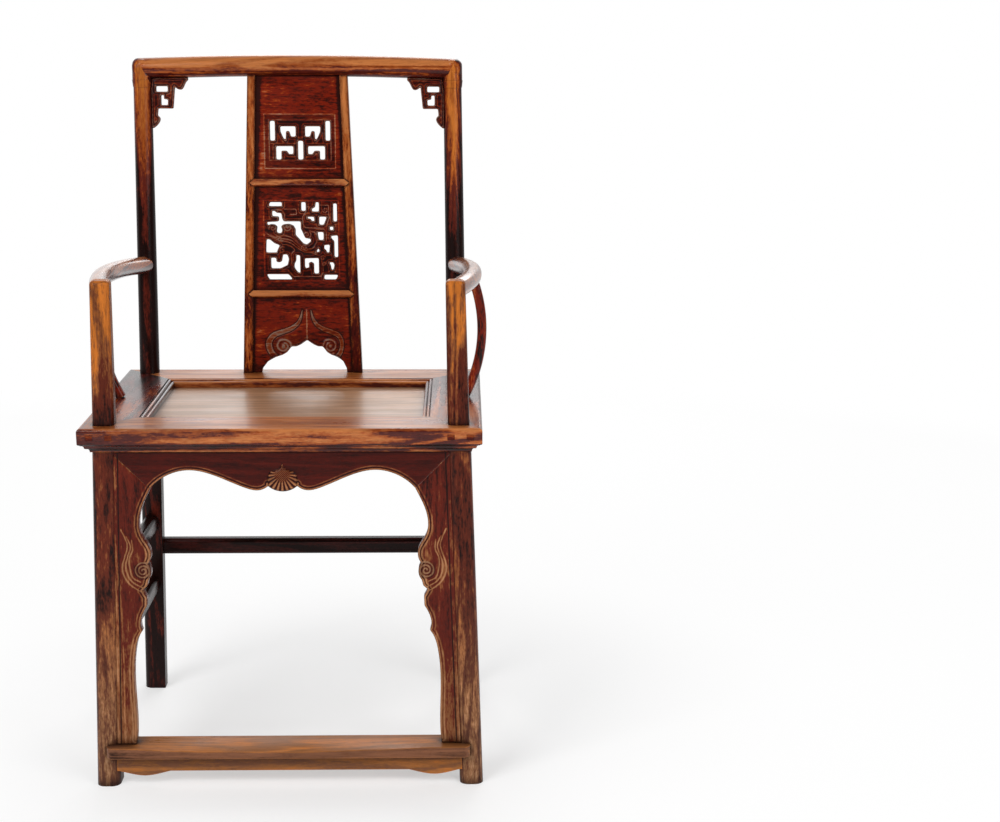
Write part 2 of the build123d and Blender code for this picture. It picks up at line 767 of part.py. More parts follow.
# ---------------------------------------------------------------- plain aprons and stretchers
def cross_bar(start, end, thick, tall, corner, tenon, legs):
    """A level bar between two leg centres, coped to the legs, with a tenon into each."""
    start, end = Vector(start), Vector(end)
    along = end - start
    bar_plane = Plane(origin=start, x_dir=along.cross(Vector(0, 0, 1)), z_dir=along)
    with BuildPart() as bar:
        with BuildSketch(bar_plane):
            RectangleRounded(thick, tall, corner)
        extrude(amount=along.length)
        for leg in legs:
            add(leg, mode=Mode.SUBTRACT)
        with BuildSketch(bar_plane.offset(tenon_stop)):
            Rectangle(*tenon)
        extrude(amount=along.length - 2 * tenon_stop)
    return bar.part


def side_bar(top, thick, tall, corner, tenon):
    """A bar from the right front leg back to the right rear leg."""
    height = top - tall / 2
    return cross_bar((*front_leg_at(height), height), (*rear_leg_at(height), height),
                     thick, tall, corner, tenon, (leg_blanks[0], leg_blanks[2]))


def rear_bar(top, thick, tall, corner, tenon):
    """A bar between the two rear legs."""
    height = top - tall / 2
    x, y = rear_leg_at(height)
    return cross_bar((-x, y, height), (x, y, height), thick, tall, corner, tenon, leg_blanks[2:])


tenon = (tenon_thick, tenon_tall)
apron_tenon = (tenon_thick / 2, plain_apron_tall / 2)
stretcher = (stretcher_deep, stretcher_tall, stretcher_round, tenon)
plain_apron = (plain_apron_thickness, plain_apron_tall + apron_trim, plain_apron_round, apron_tenon)

rear_stretcher = rear_bar(rear_stretcher_height, *stretcher)
side_stretcher_upper = side_bar(upper_side_stretcher_height, *stretcher)
side_stretcher_lower = side_bar(lower_side_stretcher_height, *stretcher)


def under_seat(board):
    """An apron cut off level where it meets the underside of the seat."""
    with BuildPart() as trimmed:
        add(board)
        split(bisect_by=Plane.XY.offset(seat_underside), keep=Keep.BOTTOM)
    return trimmed.part


rear_apron = under_seat(rear_bar(seat_underside + apron_trim, *plain_apron))
side_apron = under_seat(side_bar(seat_underside + apron_trim, *plain_apron))


# ---------------------------------------------------------------- footrest
foot_y = front_leg_at(footrest_height - footrest_thickness / 2)[1]
footrest_rear_y = foot_y + leg_size / 2
footrest_half = front_foot[0] - leg_size / 2 + footrest_overlap


def footrest_section(x, wear):
    """The board's end view: its front top edge is worn down to a slope by feet."""
    bottom, top = footrest_height - footrest_thickness, footrest_height
    with BuildSketch(Plane(origin=(x, 0, 0), x_dir=(0, 1, 0), z_dir=(1, 0, 0))) as section:
        with BuildLine():
            Polyline((footrest_rear_y, bottom), (footrest_front_y, bottom),
                     (footrest_front_y, top - footrest_nose - wear),
                     (footrest_front_y + footrest_nose + footrest_slope * wear, top),
                     (footrest_rear_y, top), close=True)
        make_face()
    return section.sketch


with BuildPart() as footrest:
    loft([footrest_section(footrest_half * share, footrest_wear * (1 - share ** 2))
          for share in (-1, -0.55, 0, 0.55, 1)])
    for leg in leg_blanks[:2]:
        add(leg, mode=Mode.SUBTRACT)
    with BuildSketch(Plane(origin=(0, foot_y, footrest_height - footrest_thickness / 2),
                           x_dir=(0, 1, 0), z_dir=(1, 0, 0))):
        Rectangle(footrest_tenon_thick, footrest_tenon_tall)
    extrude(amount=front_leg_at(footrest_height)[0], both=True)

foot_apron_bottom = footrest_height - footrest_thickness - foot_apron_tall
lobe_outer = front_foot[0] - leg_size / 2
lobe_inner = lobe_outer - foot_apron_lobe_width

with BuildPart() as footrest_apron_board:
    with BuildSketch(front_plane):
        with BuildLine():
            Polyline((-front_foot[0], foot_apron_bottom), (-front_foot[0], footrest_height),
                     (front_foot[0], footrest_height), (front_foot[0], foot_apron_bottom))
            for side in (-1, 1):
                Line((side * front_foot[0], foot_apron_bottom),
                     (side * lobe_outer, foot_apron_bottom))
                Spline((side * lobe_outer, foot_apron_bottom),
                       (side * (lobe_outer + lobe_inner) / 2, foot_apron_bottom - foot_apron_lobe),
                       (side * lobe_inner, foot_apron_bottom),
                       tangents=((-side, -0.25), (-side, 0.25)))
            Line((-lobe_inner, foot_apron_bottom), (lobe_inner, foot_apron_bottom))
        make_face()
    extrude(amount=-foot_apron_thickness)
    split(bisect_by=Plane.XY.offset(footrest_height - footrest_thickness), keep=Keep.BOTTOM)

footrest_apron = without(footrest_apron_board.part, *leg_blanks[:2])


# ---------------------------------------------------------------- pegs
peg_front_y = arm_post_head[1] - arm_post_top_size / 2

with BuildPart() as arm_peg:
    with BuildSketch(Plane(origin=(arm_post_head[0], peg_front_y, arm_axis_height),
                           z_dir=(0, 1, 0))):
        Circle(peg_diameter / 2)
    extrude(amount=peg_length)

with BuildPart() as corner_plugs_right:
    with BuildSketch(Plane(origin=(0, seat_front_y, seat_height - corner_plug_drop),
                           x_dir=(1, 0, 0), z_dir=(0, 1, 0))):
        with Locations((seat_width / 2 - corner_plug_inset, 0),
                       (seat_width / 2 - corner_plug_inset - corner_plug_spacing, 0)):
            Rectangle(corner_plug_width, corner_plug_height)
    extrude(amount=peg_length)

with BuildPart() as arm_pegs:
    add(arm_peg.part)
    mirror(about=Plane.YZ)

with BuildPart() as seat_corner_plugs:
    add(corner_plugs_right.part)
    mirror(about=Plane.YZ)


# ---------------------------------------------------------------- mortises and the pieces
front_joints = [side_stretcher_upper, side_stretcher_lower, side_apron, footrest.part,
                arm_peg.part]
rear_joints = [side_stretcher_upper, side_stretcher_lower, side_apron, rear_stretcher,
               rear_apron]
front_leg_right = without(front_leg_blank.part, *front_joints)
rear_leg_right = without(rear_leg_mitred.part, *rear_joints)

pieces = {
    "seat_rail_front": without(front_rail_blank, *leg_blanks[:2], seat_corner_plugs.part, *battens),
    "seat_rail_rear": without(rear_rail_blank, *leg_blanks[2:], *battens),
    "seat_panel": seat_panel.part,
    "crest_rail": crest_rail.part,
    "splat_panel_top": splat_panel_top,
    "splat_panel_middle": middle_blank,
    "splat_panel_bottom": splat_panel_bottom.part,
    "splat_rail_upper": splat_rail_upper,
    "splat_rail_lower": splat_rail_lower,
    "front_apron": front_apron,
    "rear_apron": rear_apron,
    "rear_stretcher": rear_stretcher,
    "footrest": footrest.part,
    "footrest_apron": footrest_apron,
    "arm_pegs": arm_pegs.part,
    "seat_corner_plugs": seat_corner_plugs.part,
}
paired_pieces = {
    "front_leg": front_leg_right,
    "rear_leg": rear_leg_right,
    "seat_rail": without(right_rail_blank, leg_blanks[0], leg_blanks[2]),
    "seat_batten": batten_right,
    "splat_stile": stile_right,
    "corner_bracket": bracket_right,
    "arm": arm_right,
    "arm_stick": stick_right,
    "front_spandrel": spandrel_right,
    "side_apron": side_apron,
    "side_stretcher_upper": side_stretcher_upper,
    "side_stretcher_lower": side_stretcher_lower,
}
for name, piece in paired_pieces.items():
    pieces[f"{name}_right"] = piece
    pieces[f"{name}_left"] = mirrored(piece)

for label, piece in pieces.items():
    piece.label = label
    export_step(piece, f"parts/{label}.step")
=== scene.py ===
# %% [markdown]
# # An official's hat armchair, dressed for its portrait
#
# The chair is a joined hardwood frame under old red-brown lacquer. Its pieces come ready cut
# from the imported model. This file gives each one its finish, and makes anew the pieces whose
# surface is more than a plain solid: the openwork splat, the arch under the seat, the arms and
# the worn footrest. Every new surface is a grid of points worked out with numpy.

# %% Load the frame
import math

import bpy
import numpy as np
from mathutils import Matrix, Vector


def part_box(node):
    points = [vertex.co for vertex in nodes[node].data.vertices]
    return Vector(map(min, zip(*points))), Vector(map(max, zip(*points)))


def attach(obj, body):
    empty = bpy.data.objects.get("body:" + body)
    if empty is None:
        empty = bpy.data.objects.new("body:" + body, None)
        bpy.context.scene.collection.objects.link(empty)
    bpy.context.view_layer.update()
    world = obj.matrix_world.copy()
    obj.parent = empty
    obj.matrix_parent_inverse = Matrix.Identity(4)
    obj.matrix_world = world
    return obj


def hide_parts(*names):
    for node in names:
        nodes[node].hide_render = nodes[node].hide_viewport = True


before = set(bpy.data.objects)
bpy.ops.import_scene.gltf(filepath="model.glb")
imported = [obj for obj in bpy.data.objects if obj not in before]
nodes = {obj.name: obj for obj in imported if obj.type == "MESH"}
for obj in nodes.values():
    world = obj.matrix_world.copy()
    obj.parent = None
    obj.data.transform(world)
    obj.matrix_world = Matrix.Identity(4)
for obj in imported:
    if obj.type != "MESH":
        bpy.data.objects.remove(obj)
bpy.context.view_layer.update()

# %% [markdown]
# ## Camera
#
# The eye stands a little above the crest rail, to the right of the chair, and looks down at
# its front. A view camera shifts its lens to keep an object whole in the picture, so the aim is
# a pitch, a slight turn and roll, and a small shift, each with its own name.

# %% An object in the scene


def new_object(name, data):
    """An object with this data, linked to the scene."""
    made = bpy.data.objects.new(name, data)
    bpy.context.scene.collection.objects.link(made)
    return made


# %% Camera
EYE = Vector((0.2455, -2.5409, 1.0821))
EYE_PITCH = math.radians(15.383)
EYE_TURN = math.radians(1.260)
EYE_ROLL = math.radians(0.181)
LENS_MM = 64.07
SENSOR_MM = 36.0
LENS_SHIFT = 0.075

camera_data = bpy.data.cameras.new("portrait_camera")
camera_data.lens = LENS_MM
camera_data.sensor_width = SENSOR_MM
camera_data.shift_y = LENS_SHIFT
camera = new_object("portrait_camera", camera_data)
turned = Matrix.Rotation(-EYE_TURN, 4, "Z") @ Matrix.Rotation(math.pi / 2 - EYE_PITCH, 4, "X")
camera.matrix_world = Matrix.Translation(EYE) @ turned @ Matrix.Rotation(EYE_ROLL, 4, "Z")
bpy.context.scene.camera = camera
print("camera at", tuple(round(v, 3) for v in EYE))

# %% [markdown]
# ## Shader building blocks
#
# A material is a graph of nodes. Writing one by hand takes many lines, so small helpers place
# a node, set its sockets and wire it up. An effect that several finishes share becomes a node
# group with named inputs and outputs.

# %% Helpers for node graphs


def place(tree, kind, inputs=None, **settings):
    """Adds one node. inputs maps a socket name or number to a value or to another socket."""
    made = tree.nodes.new(kind)
    for name, value in settings.items():
        setattr(made, name, value)
    for name, value in (inputs or {}).items():
        if isinstance(value, bpy.types.NodeSocket):
            tree.links.new(value, made.inputs[name])
        else:
            made.inputs[name].default_value = value
    return made


def maths(tree, operation, a, b=0.5):
    """One arithmetic step on two values."""
    return place(tree, "ShaderNodeMath", {0: a, 1: b}, operation=operation).outputs[0]


def times(tree, a, b):
    """The product of two values."""
    return maths(tree, "MULTIPLY", a, b)


def total(tree, *values):
    """The sum of several values."""
    result = values[0]
    for value in values[1:]:
        result = maths(tree, "ADD", result, value)
    return result


def scaled(tree, value, factor, centre=0.0):
    """(value - centre) times factor."""
    return times(tree, maths(tree, "SUBTRACT", value, centre), factor)


def ramp(tree, value, low, high, to_low=0.0, to_high=1.0, kind="SMOOTHSTEP"):
    """to_low where value is under low, to_high where it is over high, and between them a smooth
    step, or a straight line if the kind is LINEAR."""
    return place(tree, "ShaderNodeMapRange",
                 {"Value": value, "From Min": low, "From Max": high, "To Min": to_low,
                  "To Max": to_high}, interpolation_type=kind).outputs["Result"]


def blend_colour(tree, mask, under, over, mode="MIX"):
    """under where mask is 0, over where it is 1."""
    mixer = place(tree, "ShaderNodeMix", data_type="RGBA", blend_type=mode)
    for socket, value in zip((mixer.inputs[0], mixer.inputs[6], mixer.inputs[7]),
                             (mask, under, over)):
        if isinstance(value, bpy.types.NodeSocket):
            tree.links.new(value, socket)
        else:
            socket.default_value = value
    return mixer.outputs[2]


def noise(tree, where, scale, detail=4.0, roughness=0.55, distortion=0.0):
    """Soft noise about 0.5, with scale bumps to the metre."""
    return place(tree, "ShaderNodeTexNoise",
                 {"Vector": where, "Scale": scale, "Detail": detail, "Roughness": roughness,
                  "Distortion": distortion}).outputs["Fac"]


def stretched(tree, squeeze, offset):
    """Object coordinates, moved by offset and then squeezed along the grain."""
    here = place(tree, "ShaderNodeTexCoord").outputs["Object"]
    moved = place(tree, "ShaderNodeVectorMath", {0: here, 1: offset}, operation="ADD").outputs[0]
    return place(tree, "ShaderNodeVectorMath", {0: moved, 1: squeeze},
                 operation="MULTIPLY").outputs[0]


def blank_material(name):
    """A material with an empty graph, and the graph."""
    material = bpy.data.materials.new(name)
    material.use_nodes = True
    material.node_tree.nodes.clear()
    return material, material.node_tree


SOCKET_KINDS = {"colour": "NodeSocketColor", "value": "NodeSocketFloat",
                "vector": "NodeSocketVector"}


def new_group(name, inputs, outputs):
    """An empty node group with named sockets: its tree, its inputs and its output node."""
    tree = bpy.data.node_groups.new(name, "ShaderNodeTree")
    for label, kind, default in inputs:
        socket = tree.interface.new_socket(label, in_out="INPUT", socket_type=SOCKET_KINDS[kind])
        socket.default_value = default
    for label, kind in outputs:
        tree.interface.new_socket(label, in_out="OUTPUT", socket_type=SOCKET_KINDS[kind])
    return tree, tree.nodes.new("NodeGroupInput").outputs, tree.nodes.new("NodeGroupOutput")


# %% [markdown]
# ## Grain
#
# Wood is made of long fibres, so every mark in it is stretched along the plank. The group
# squeezes the coordinates along the grain and reads three noises from them: broad bands of
# early and late wood, fine fibres, and short dark pores.

# %% Node group: wood grain
RINGS_PER_BAND = 46.0
FIBRE_SCALE = 520.0
PORE_SCALE = 640.0
grain_tree, given, grain_out = new_group(
    "wood_grain",
    [("Squeeze", "vector", (1.0, 1.0, 0.06)), ("Offset", "vector", (0.0, 0.0, 0.0)),
     ("Band Scale", "value", 26.0)],
    [("Bands", "value"), ("Fibres", "value"), ("Pores", "value")])
along = stretched(grain_tree, given["Squeeze"], given["Offset"])
swirl = noise(grain_tree, along, given["Band Scale"], 2.0, 0.45, 0.6)
rings = maths(grain_tree, "SINE", scaled(grain_tree, swirl, RINGS_PER_BAND))
fibres = noise(grain_tree, along, FIBRE_SCALE, 5.0, 0.65)
pores = noise(grain_tree, along, PORE_SCALE, 3.0, 0.7)
for value, low, high, label in ((rings, -1.0, 1.0, "Bands"), (fibres, 0.3, 0.7, "Fibres"),
                                (pores, 0.55, 0.68, "Pores")):
    grain_tree.links.new(ramp(grain_tree, value, low, high), grain_out.inputs[label])
print("group:", grain_tree.name)

# %% [markdown]
# ## Edge wear
#
# Hands and sleeves rub the lacquer off where a surface turns. The Bevel node looks at a small
# neighbourhood and returns a rounded normal, which differs from the true one only near an
# edge. How far the two part is the mask. A crevice is the opposite: what little of the sky it
# sees, Ambient Occlusion measures, and there the colour is darkened, both as painted shade and
# as the old varnish and dirt that stay there.

# %% Node groups: edge wear, and crevice shade
SKY_IN_HOLLOW, SKY_IN_OPEN = 0.40, 0.97
edge_tree, given, edge_out = new_group(
    "edge_wear_and_shade", [("Radius", "value", 0.003), ("Sharpness", "value", 0.12)],
    [("Edge", "value")])
rounded = place(edge_tree, "ShaderNodeBevel", {"Radius": given["Radius"]}, samples=4)
true_normal = place(edge_tree, "ShaderNodeNewGeometry").outputs["Normal"]
match = place(edge_tree, "ShaderNodeVectorMath", {0: rounded.outputs[0], 1: true_normal},
              operation="DOT_PRODUCT").outputs["Value"]
turned_away = maths(edge_tree, "SUBTRACT", 1.0, match)
edge_tree.links.new(ramp(edge_tree, turned_away, 0.0, given["Sharpness"]),
                    edge_out.inputs["Edge"])

# Crevice: the less of the sky a point sees, the darker it is painted, as shade and as dirt.
crevice_tree, given, crevice_out = new_group(
    "crevice_shade", [("Reach", "value", 0.020)], [("Crevice Shade", "value")])
sky_seen = place(crevice_tree, "ShaderNodeAmbientOcclusion", {"Distance": given["Reach"]},
                 samples=6).outputs["AO"]
crevice_tree.links.new(ramp(crevice_tree, sky_seen, SKY_IN_HOLLOW, SKY_IN_OPEN, 1.0, 0.0),
                       crevice_out.inputs["Crevice Shade"])
print("groups:", edge_tree.name, crevice_tree.name)

# %% [markdown]
# ## Where a chair wears, and painted light by facing
#
# Wear isn't spread evenly. It comes where hands, backs and feet pass: on the fronts of the
# posts, on tops, near the floor, and more at one end of a piece than at the other. This group
# turns a point's place and the way that its surface faces into one number, which is added to
# the wear of the finish. The part from the facing is also painted light and shade: it makes
# faces turned up lighter and undersides darker, and on the posts the fronts lighter than the
# sides.

# %% Node group: wear and painted light by place
wear_and_light_tree, given, reach_out = new_group(
    "wear_and_light_by_place",
    [("Front", "value", 0.0), ("Top", "value", 0.0), ("Direction", "vector", (0.0, 0.0, 1.0)),
     ("Low Place", "value", 0.0), ("High Place", "value", 1.0), ("Low Wear", "value", 0.0),
     ("High Wear", "value", 0.0), ("Ends From", "value", 0.2), ("Ends To", "value", 0.25),
     ("Ends Wear", "value", 0.0), ("Foot Height", "value", 0.4), ("Foot Wear", "value", 0.0)],
    [("Bias", "value")])
where = place(wear_and_light_tree, "ShaderNodeTexCoord").outputs["Object"]
place_along = place(wear_and_light_tree, "ShaderNodeVectorMath", {0: where, 1: given["Direction"]},
                    operation="DOT_PRODUCT").outputs["Value"]
along_wear = ramp(wear_and_light_tree, place_along, given["Low Place"], given["High Place"],
                  given["Low Wear"], given["High Wear"], kind="LINEAR")
from_floor = place(wear_and_light_tree, "ShaderNodeSeparateXYZ", {0: where}).outputs
foot_wear = ramp(wear_and_light_tree, from_floor["Z"], 0.0, given["Foot Height"], given["Foot Wear"],
                 0.0, kind="LINEAR")
off_centre = maths(wear_and_light_tree, "ABSOLUTE", from_floor["X"])
ends_wear = ramp(wear_and_light_tree, off_centre, given["Ends From"], given["Ends To"], 0.0,
                 given["Ends Wear"], kind="LINEAR")
# Facing: fronts and tops gain wear, sides and undersides lose it. This is wear, and also painted
# light and shade.
facing = place(wear_and_light_tree, "ShaderNodeNewGeometry").outputs["Normal"]
facing = place(wear_and_light_tree, "ShaderNodeSeparateXYZ", {0: facing}).outputs
forwards = maths(wear_and_light_tree, "MAXIMUM", times(wear_and_light_tree, facing["Y"], -1.0), 0.0)
forwards = maths(wear_and_light_tree, "POWER", forwards, 2.0)
upwards = maths(wear_and_light_tree, "MAXIMUM", facing["Z"], -0.6)
bias = total(wear_and_light_tree, along_wear, foot_wear, ends_wear,
             times(wear_and_light_tree, forwards, given["Front"]), times(wear_and_light_tree, upwards, given["Top"]))
wear_and_light_tree.links.new(bias, reach_out.inputs["Bias"])
print("group:", wear_and_light_tree.name)

# %% [markdown]
# ## Worn lacquer
#
# Old lacquer on a used chair has four states: the bare, polished wood, the thin orange stain
# left round it, the sound red-brown coat, and a near-black build-up of varnish and dirt. The
# near-black is also the colour of the painted shade in crevices and cut lines. One number says
# how worn a spot is, and it picks the colour, the roughness and the height, so that they agree.
# Painting each by hand would take an image, and they would soon disagree.

# %% Node group: worn lacquer
lacquer_tree, given, lacquer_out = new_group(
    "worn_lacquer",
    [("Bare Wood", "colour", (0.4, 0.17, 0.07, 1)), ("Stain", "colour", (0.3, 0.08, 0.016, 1)),
     ("Lacquer", "colour", (0.1, 0.015, 0.009, 1)), ("Build-up and Shade", "colour", (0.02, 0.006, 0.005, 1)),
     ("Wear", "value", 0.4), ("Shade and Grime", "value", 0.0), ("Patch Scale", "value", 7.0),
     ("Patchiness", "value", 1.0), ("Squeeze", "vector", (1.0, 1.0, 0.3)),
     ("Offset", "vector", (0.0, 0.0, 0.0)), ("Figure", "value", 0.5),
     ("Grain Wear", "value", 0.25), ("Bands", "value", 0.5),
     ("Fibres", "value", 0.5), ("Pores", "value", 0.0)],
    [("Colour", "colour"), ("Roughness", "value"), ("Height", "value")])
print("group:", lacquer_tree.name)

# %% [markdown]
# How worn a spot is starts with the finish's own wear. Four noises spread it, each with its own
# part: broad patches, chips about a tenth of their size, flecks of a few millimetres, and the
# fibres themselves. Early wood wears before late wood, so the growth rings add to it too.

# %% Worn lacquer: how worn a spot is
CHIPS_FINER = 11.0
FLECK_SCALE = 430.0
PATCH_PART, CHIP_PART, FLECK_PART, FIBRE_PART = 1.25, 1.0, 0.9, 0.22
along = stretched(lacquer_tree, given["Squeeze"], given["Offset"])
patches = noise(lacquer_tree, along, given["Patch Scale"], 5.0, 0.6, 0.4)
chip_scale = times(lacquer_tree, given["Patch Scale"], CHIPS_FINER)
chips = noise(lacquer_tree, along, chip_scale, 4.0, 0.65)
flecks = noise(lacquer_tree, along, FLECK_SCALE, 3.0, 0.6)
spread = total(lacquer_tree, scaled(lacquer_tree, patches, PATCH_PART, 0.5),
               scaled(lacquer_tree, chips, CHIP_PART, 0.5),
               scaled(lacquer_tree, flecks, FLECK_PART, 0.5),
               scaled(lacquer_tree, given["Fibres"], FIBRE_PART, 0.5))
along_rings = times(lacquer_tree, given["Grain Wear"],
                    maths(lacquer_tree, "SUBTRACT", given["Bands"], 0.5))
worn = total(lacquer_tree, given["Wear"], along_rings,
             times(lacquer_tree, spread, given["Patchiness"]))
print("parts of patches, chips, flecks, fibres:", PATCH_PART, CHIP_PART, FLECK_PART, FIBRE_PART)

# %% [markdown]
# The colour is a chain of blends along that number, each with its own short range, so that the
# orange stain shows as a thin rim round the bare wood. Rings, fibres and pores darken it, most
# where the wood is bare, and over all goes the near-black of grime and of painted shade.

# %% Worn lacquer: its colour
BUILD_UP_GOES = (-0.05, 0.30)
STAIN_SHOWS = (0.34, 0.56)
WOOD_SHOWS = (0.52, 0.84)
BAND_TONES = (0.70, 1.10)
FIBRE_TONES = (0.80, 1.12)
PORE_TONES = (1.0, 0.58)
FIGURE_SHOWS = (0.2, 0.7, 0.5, 1.0)
coat = blend_colour(lacquer_tree, ramp(lacquer_tree, worn, *BUILD_UP_GOES), given["Build-up and Shade"],
                    given["Lacquer"])
coat = blend_colour(lacquer_tree, ramp(lacquer_tree, worn, *STAIN_SHOWS), coat, given["Stain"])
coat = blend_colour(lacquer_tree, ramp(lacquer_tree, worn, *WOOD_SHOWS), coat, given["Bare Wood"])
by_bands = ramp(lacquer_tree, given["Bands"], 0.0, 1.0, *BAND_TONES)
by_fibres = ramp(lacquer_tree, given["Fibres"], 0.0, 1.0, *FIBRE_TONES)
by_pores = ramp(lacquer_tree, given["Pores"], 0.0, 1.0, *PORE_TONES)
figure = times(lacquer_tree, times(lacquer_tree, by_bands, by_fibres), by_pores)
shown = place(lacquer_tree, "ShaderNodeMix", {2: 1.0, 3: figure}, data_type="FLOAT")
shown_share = times(lacquer_tree, given["Figure"], ramp(lacquer_tree, worn, *FIGURE_SHOWS))
lacquer_tree.links.new(shown_share, shown.inputs[0])
tone = place(lacquer_tree, "ShaderNodeCombineColor",
             {label: shown.outputs[0] for label in ("Red", "Green", "Blue")}).outputs[0]
coat = blend_colour(lacquer_tree, 1.0, coat, tone, "MULTIPLY")
# Grime, and painted shade in crevices and cut lines, turn the colour to the near-black.
coat = blend_colour(lacquer_tree, given["Shade and Grime"], coat, given["Build-up and Shade"])
lacquer_tree.links.new(coat, lacquer_out.inputs["Colour"])
print("stain from", STAIN_SHOWS[0], "bare wood from", WOOD_SHOWS[0])

# %% [markdown]
# Polished wood is a little rougher than lacquer, and hands leave smudges on both. Where the
# coat is gone the surface lies lower by its film, and pores lie lower still.

# %% Worn lacquer: its roughness and height
SMUDGE_SCALE = 24.0
SMUDGE_ROUGHNESS = (0.20, 0.36)
BARE_ROUGHER = 0.10
FILM_THICK, FIBRES_RISE, PORES_SINK = 0.5, 0.20, 0.25
bare = ramp(lacquer_tree, worn, 0.40, 0.75)
smudge = noise(lacquer_tree, along, SMUDGE_SCALE, 4.0, 0.6)
dullness = total(lacquer_tree, ramp(lacquer_tree, smudge, 0.3, 0.7, *SMUDGE_ROUGHNESS),
                 times(lacquer_tree, bare, BARE_ROUGHER))
lacquer_tree.links.new(dullness, lacquer_out.inputs["Roughness"])
film = total(lacquer_tree, times(lacquer_tree, bare, -FILM_THICK),
             times(lacquer_tree, given["Fibres"], FIBRES_RISE),
             times(lacquer_tree, given["Pores"], -PORES_SINK))
lacquer_tree.links.new(film, lacquer_out.inputs["Height"])
print("outputs:", [socket.name for socket in lacquer_out.inputs if socket.name])

# %% [markdown]
# ## The finishes
#
# Every finish below is the same groups with its own numbers: which way the plank runs, how
# worn it is and where, and its colours. Fibres run along a plank, so posts squeeze the pattern
# along Z, cross rails along X and side rails along Y. A carved finish also reads the marks that
# carving leaves on the mesh: how near a cut line is, how much of a ridge a point is on, and
# how much the red has faded to brown, where fingers and dust cloths never reach. Near the floor
# years of sweeping have left a dusty brown on the legs.

# %% Plank directions and colours
UPRIGHT = (1.0, 1.0, 0.07)
ACROSS = (0.07, 1.0, 1.0)
BACKWARDS = (1.0, 0.07, 1.0)
TAN = (0.40, 0.130, 0.034)
GOLDEN = (0.42, 0.120, 0.016)
ORANGE = (0.28, 0.056, 0.007)
MAROON = (0.072, 0.0062, 0.0032)
RED = (0.150, 0.0095, 0.0022)
NEAR_BLACK = (0.010, 0.0026, 0.0020)
DUSTY = ((0.36, 0.205, 0.110), (0.22, 0.100, 0.045), (0.115, 0.042, 0.022))
AGED_TONE = (0.62, 0.70, 0.86, 1.0)
STATES = ("Bare Wood", "Stain", "Lacquer", "Build-up and Shade")
print("wood, stain, lacquer, build-up:", (TAN, ORANGE, MAROON, NEAR_BLACK))

# %% What carving, with painted shade in its cut lines, and dust add to a finish
CUT_EDGE = (0.30, 1.05)
CUT_SHADE_AND_GRIME = 0.92
CUT_SINKS = 1.6
RIDGE_WEAR = 0.60


def attribute(tree, name):
    """The number that carving has left on the mesh under this name."""
    return place(tree, "ShaderNodeAttribute", attribute_name=name).outputs["Fac"]


def carving_read(tree, worn, shade_and_grime, height):
    """Ridges wear sooner. Cut lines lie lower, and are darkened both as grime and as painted shade
    in the groove.
    """
    ridge, line = attribute(tree, "ridge"), attribute(tree, "line")
    cut = ramp(tree, line, *CUT_EDGE, 1.0, 0.0)
    worn = total(tree, worn, times(tree, ridge, RIDGE_WEAR))
    shade_and_grime = maths(tree, "MAXIMUM", shade_and_grime, times(tree, cut, CUT_SHADE_AND_GRIME))
    height = maths(tree, "SUBTRACT", height, times(tree, cut, CUT_SINKS))
    return worn, shade_and_grime, height


def dusted(tree, coat, colours, dusty_to):
    """From the height dusty_to down to the floor, wood, stain and lacquer fade to dusty browns."""
    here = place(tree, "ShaderNodeTexCoord").outputs["Object"]
    height_up = place(tree, "ShaderNodeSeparateXYZ", {0: here}).outputs["Z"]
    low_down = ramp(tree, height_up, 0.0, dusty_to, 1.0, 0.0)
    for label, clean, dusty in zip(STATES, colours, DUSTY):
        faded = blend_colour(tree, low_down, (*clean, 1), (*dusty, 1))
        tree.links.new(faded, coat.inputs[label])


# %% Finish maker
COAT_ROUGHNESS = 0.16
OFFSET_STEP = 0.37
ALONG_PATCHES = 0.3


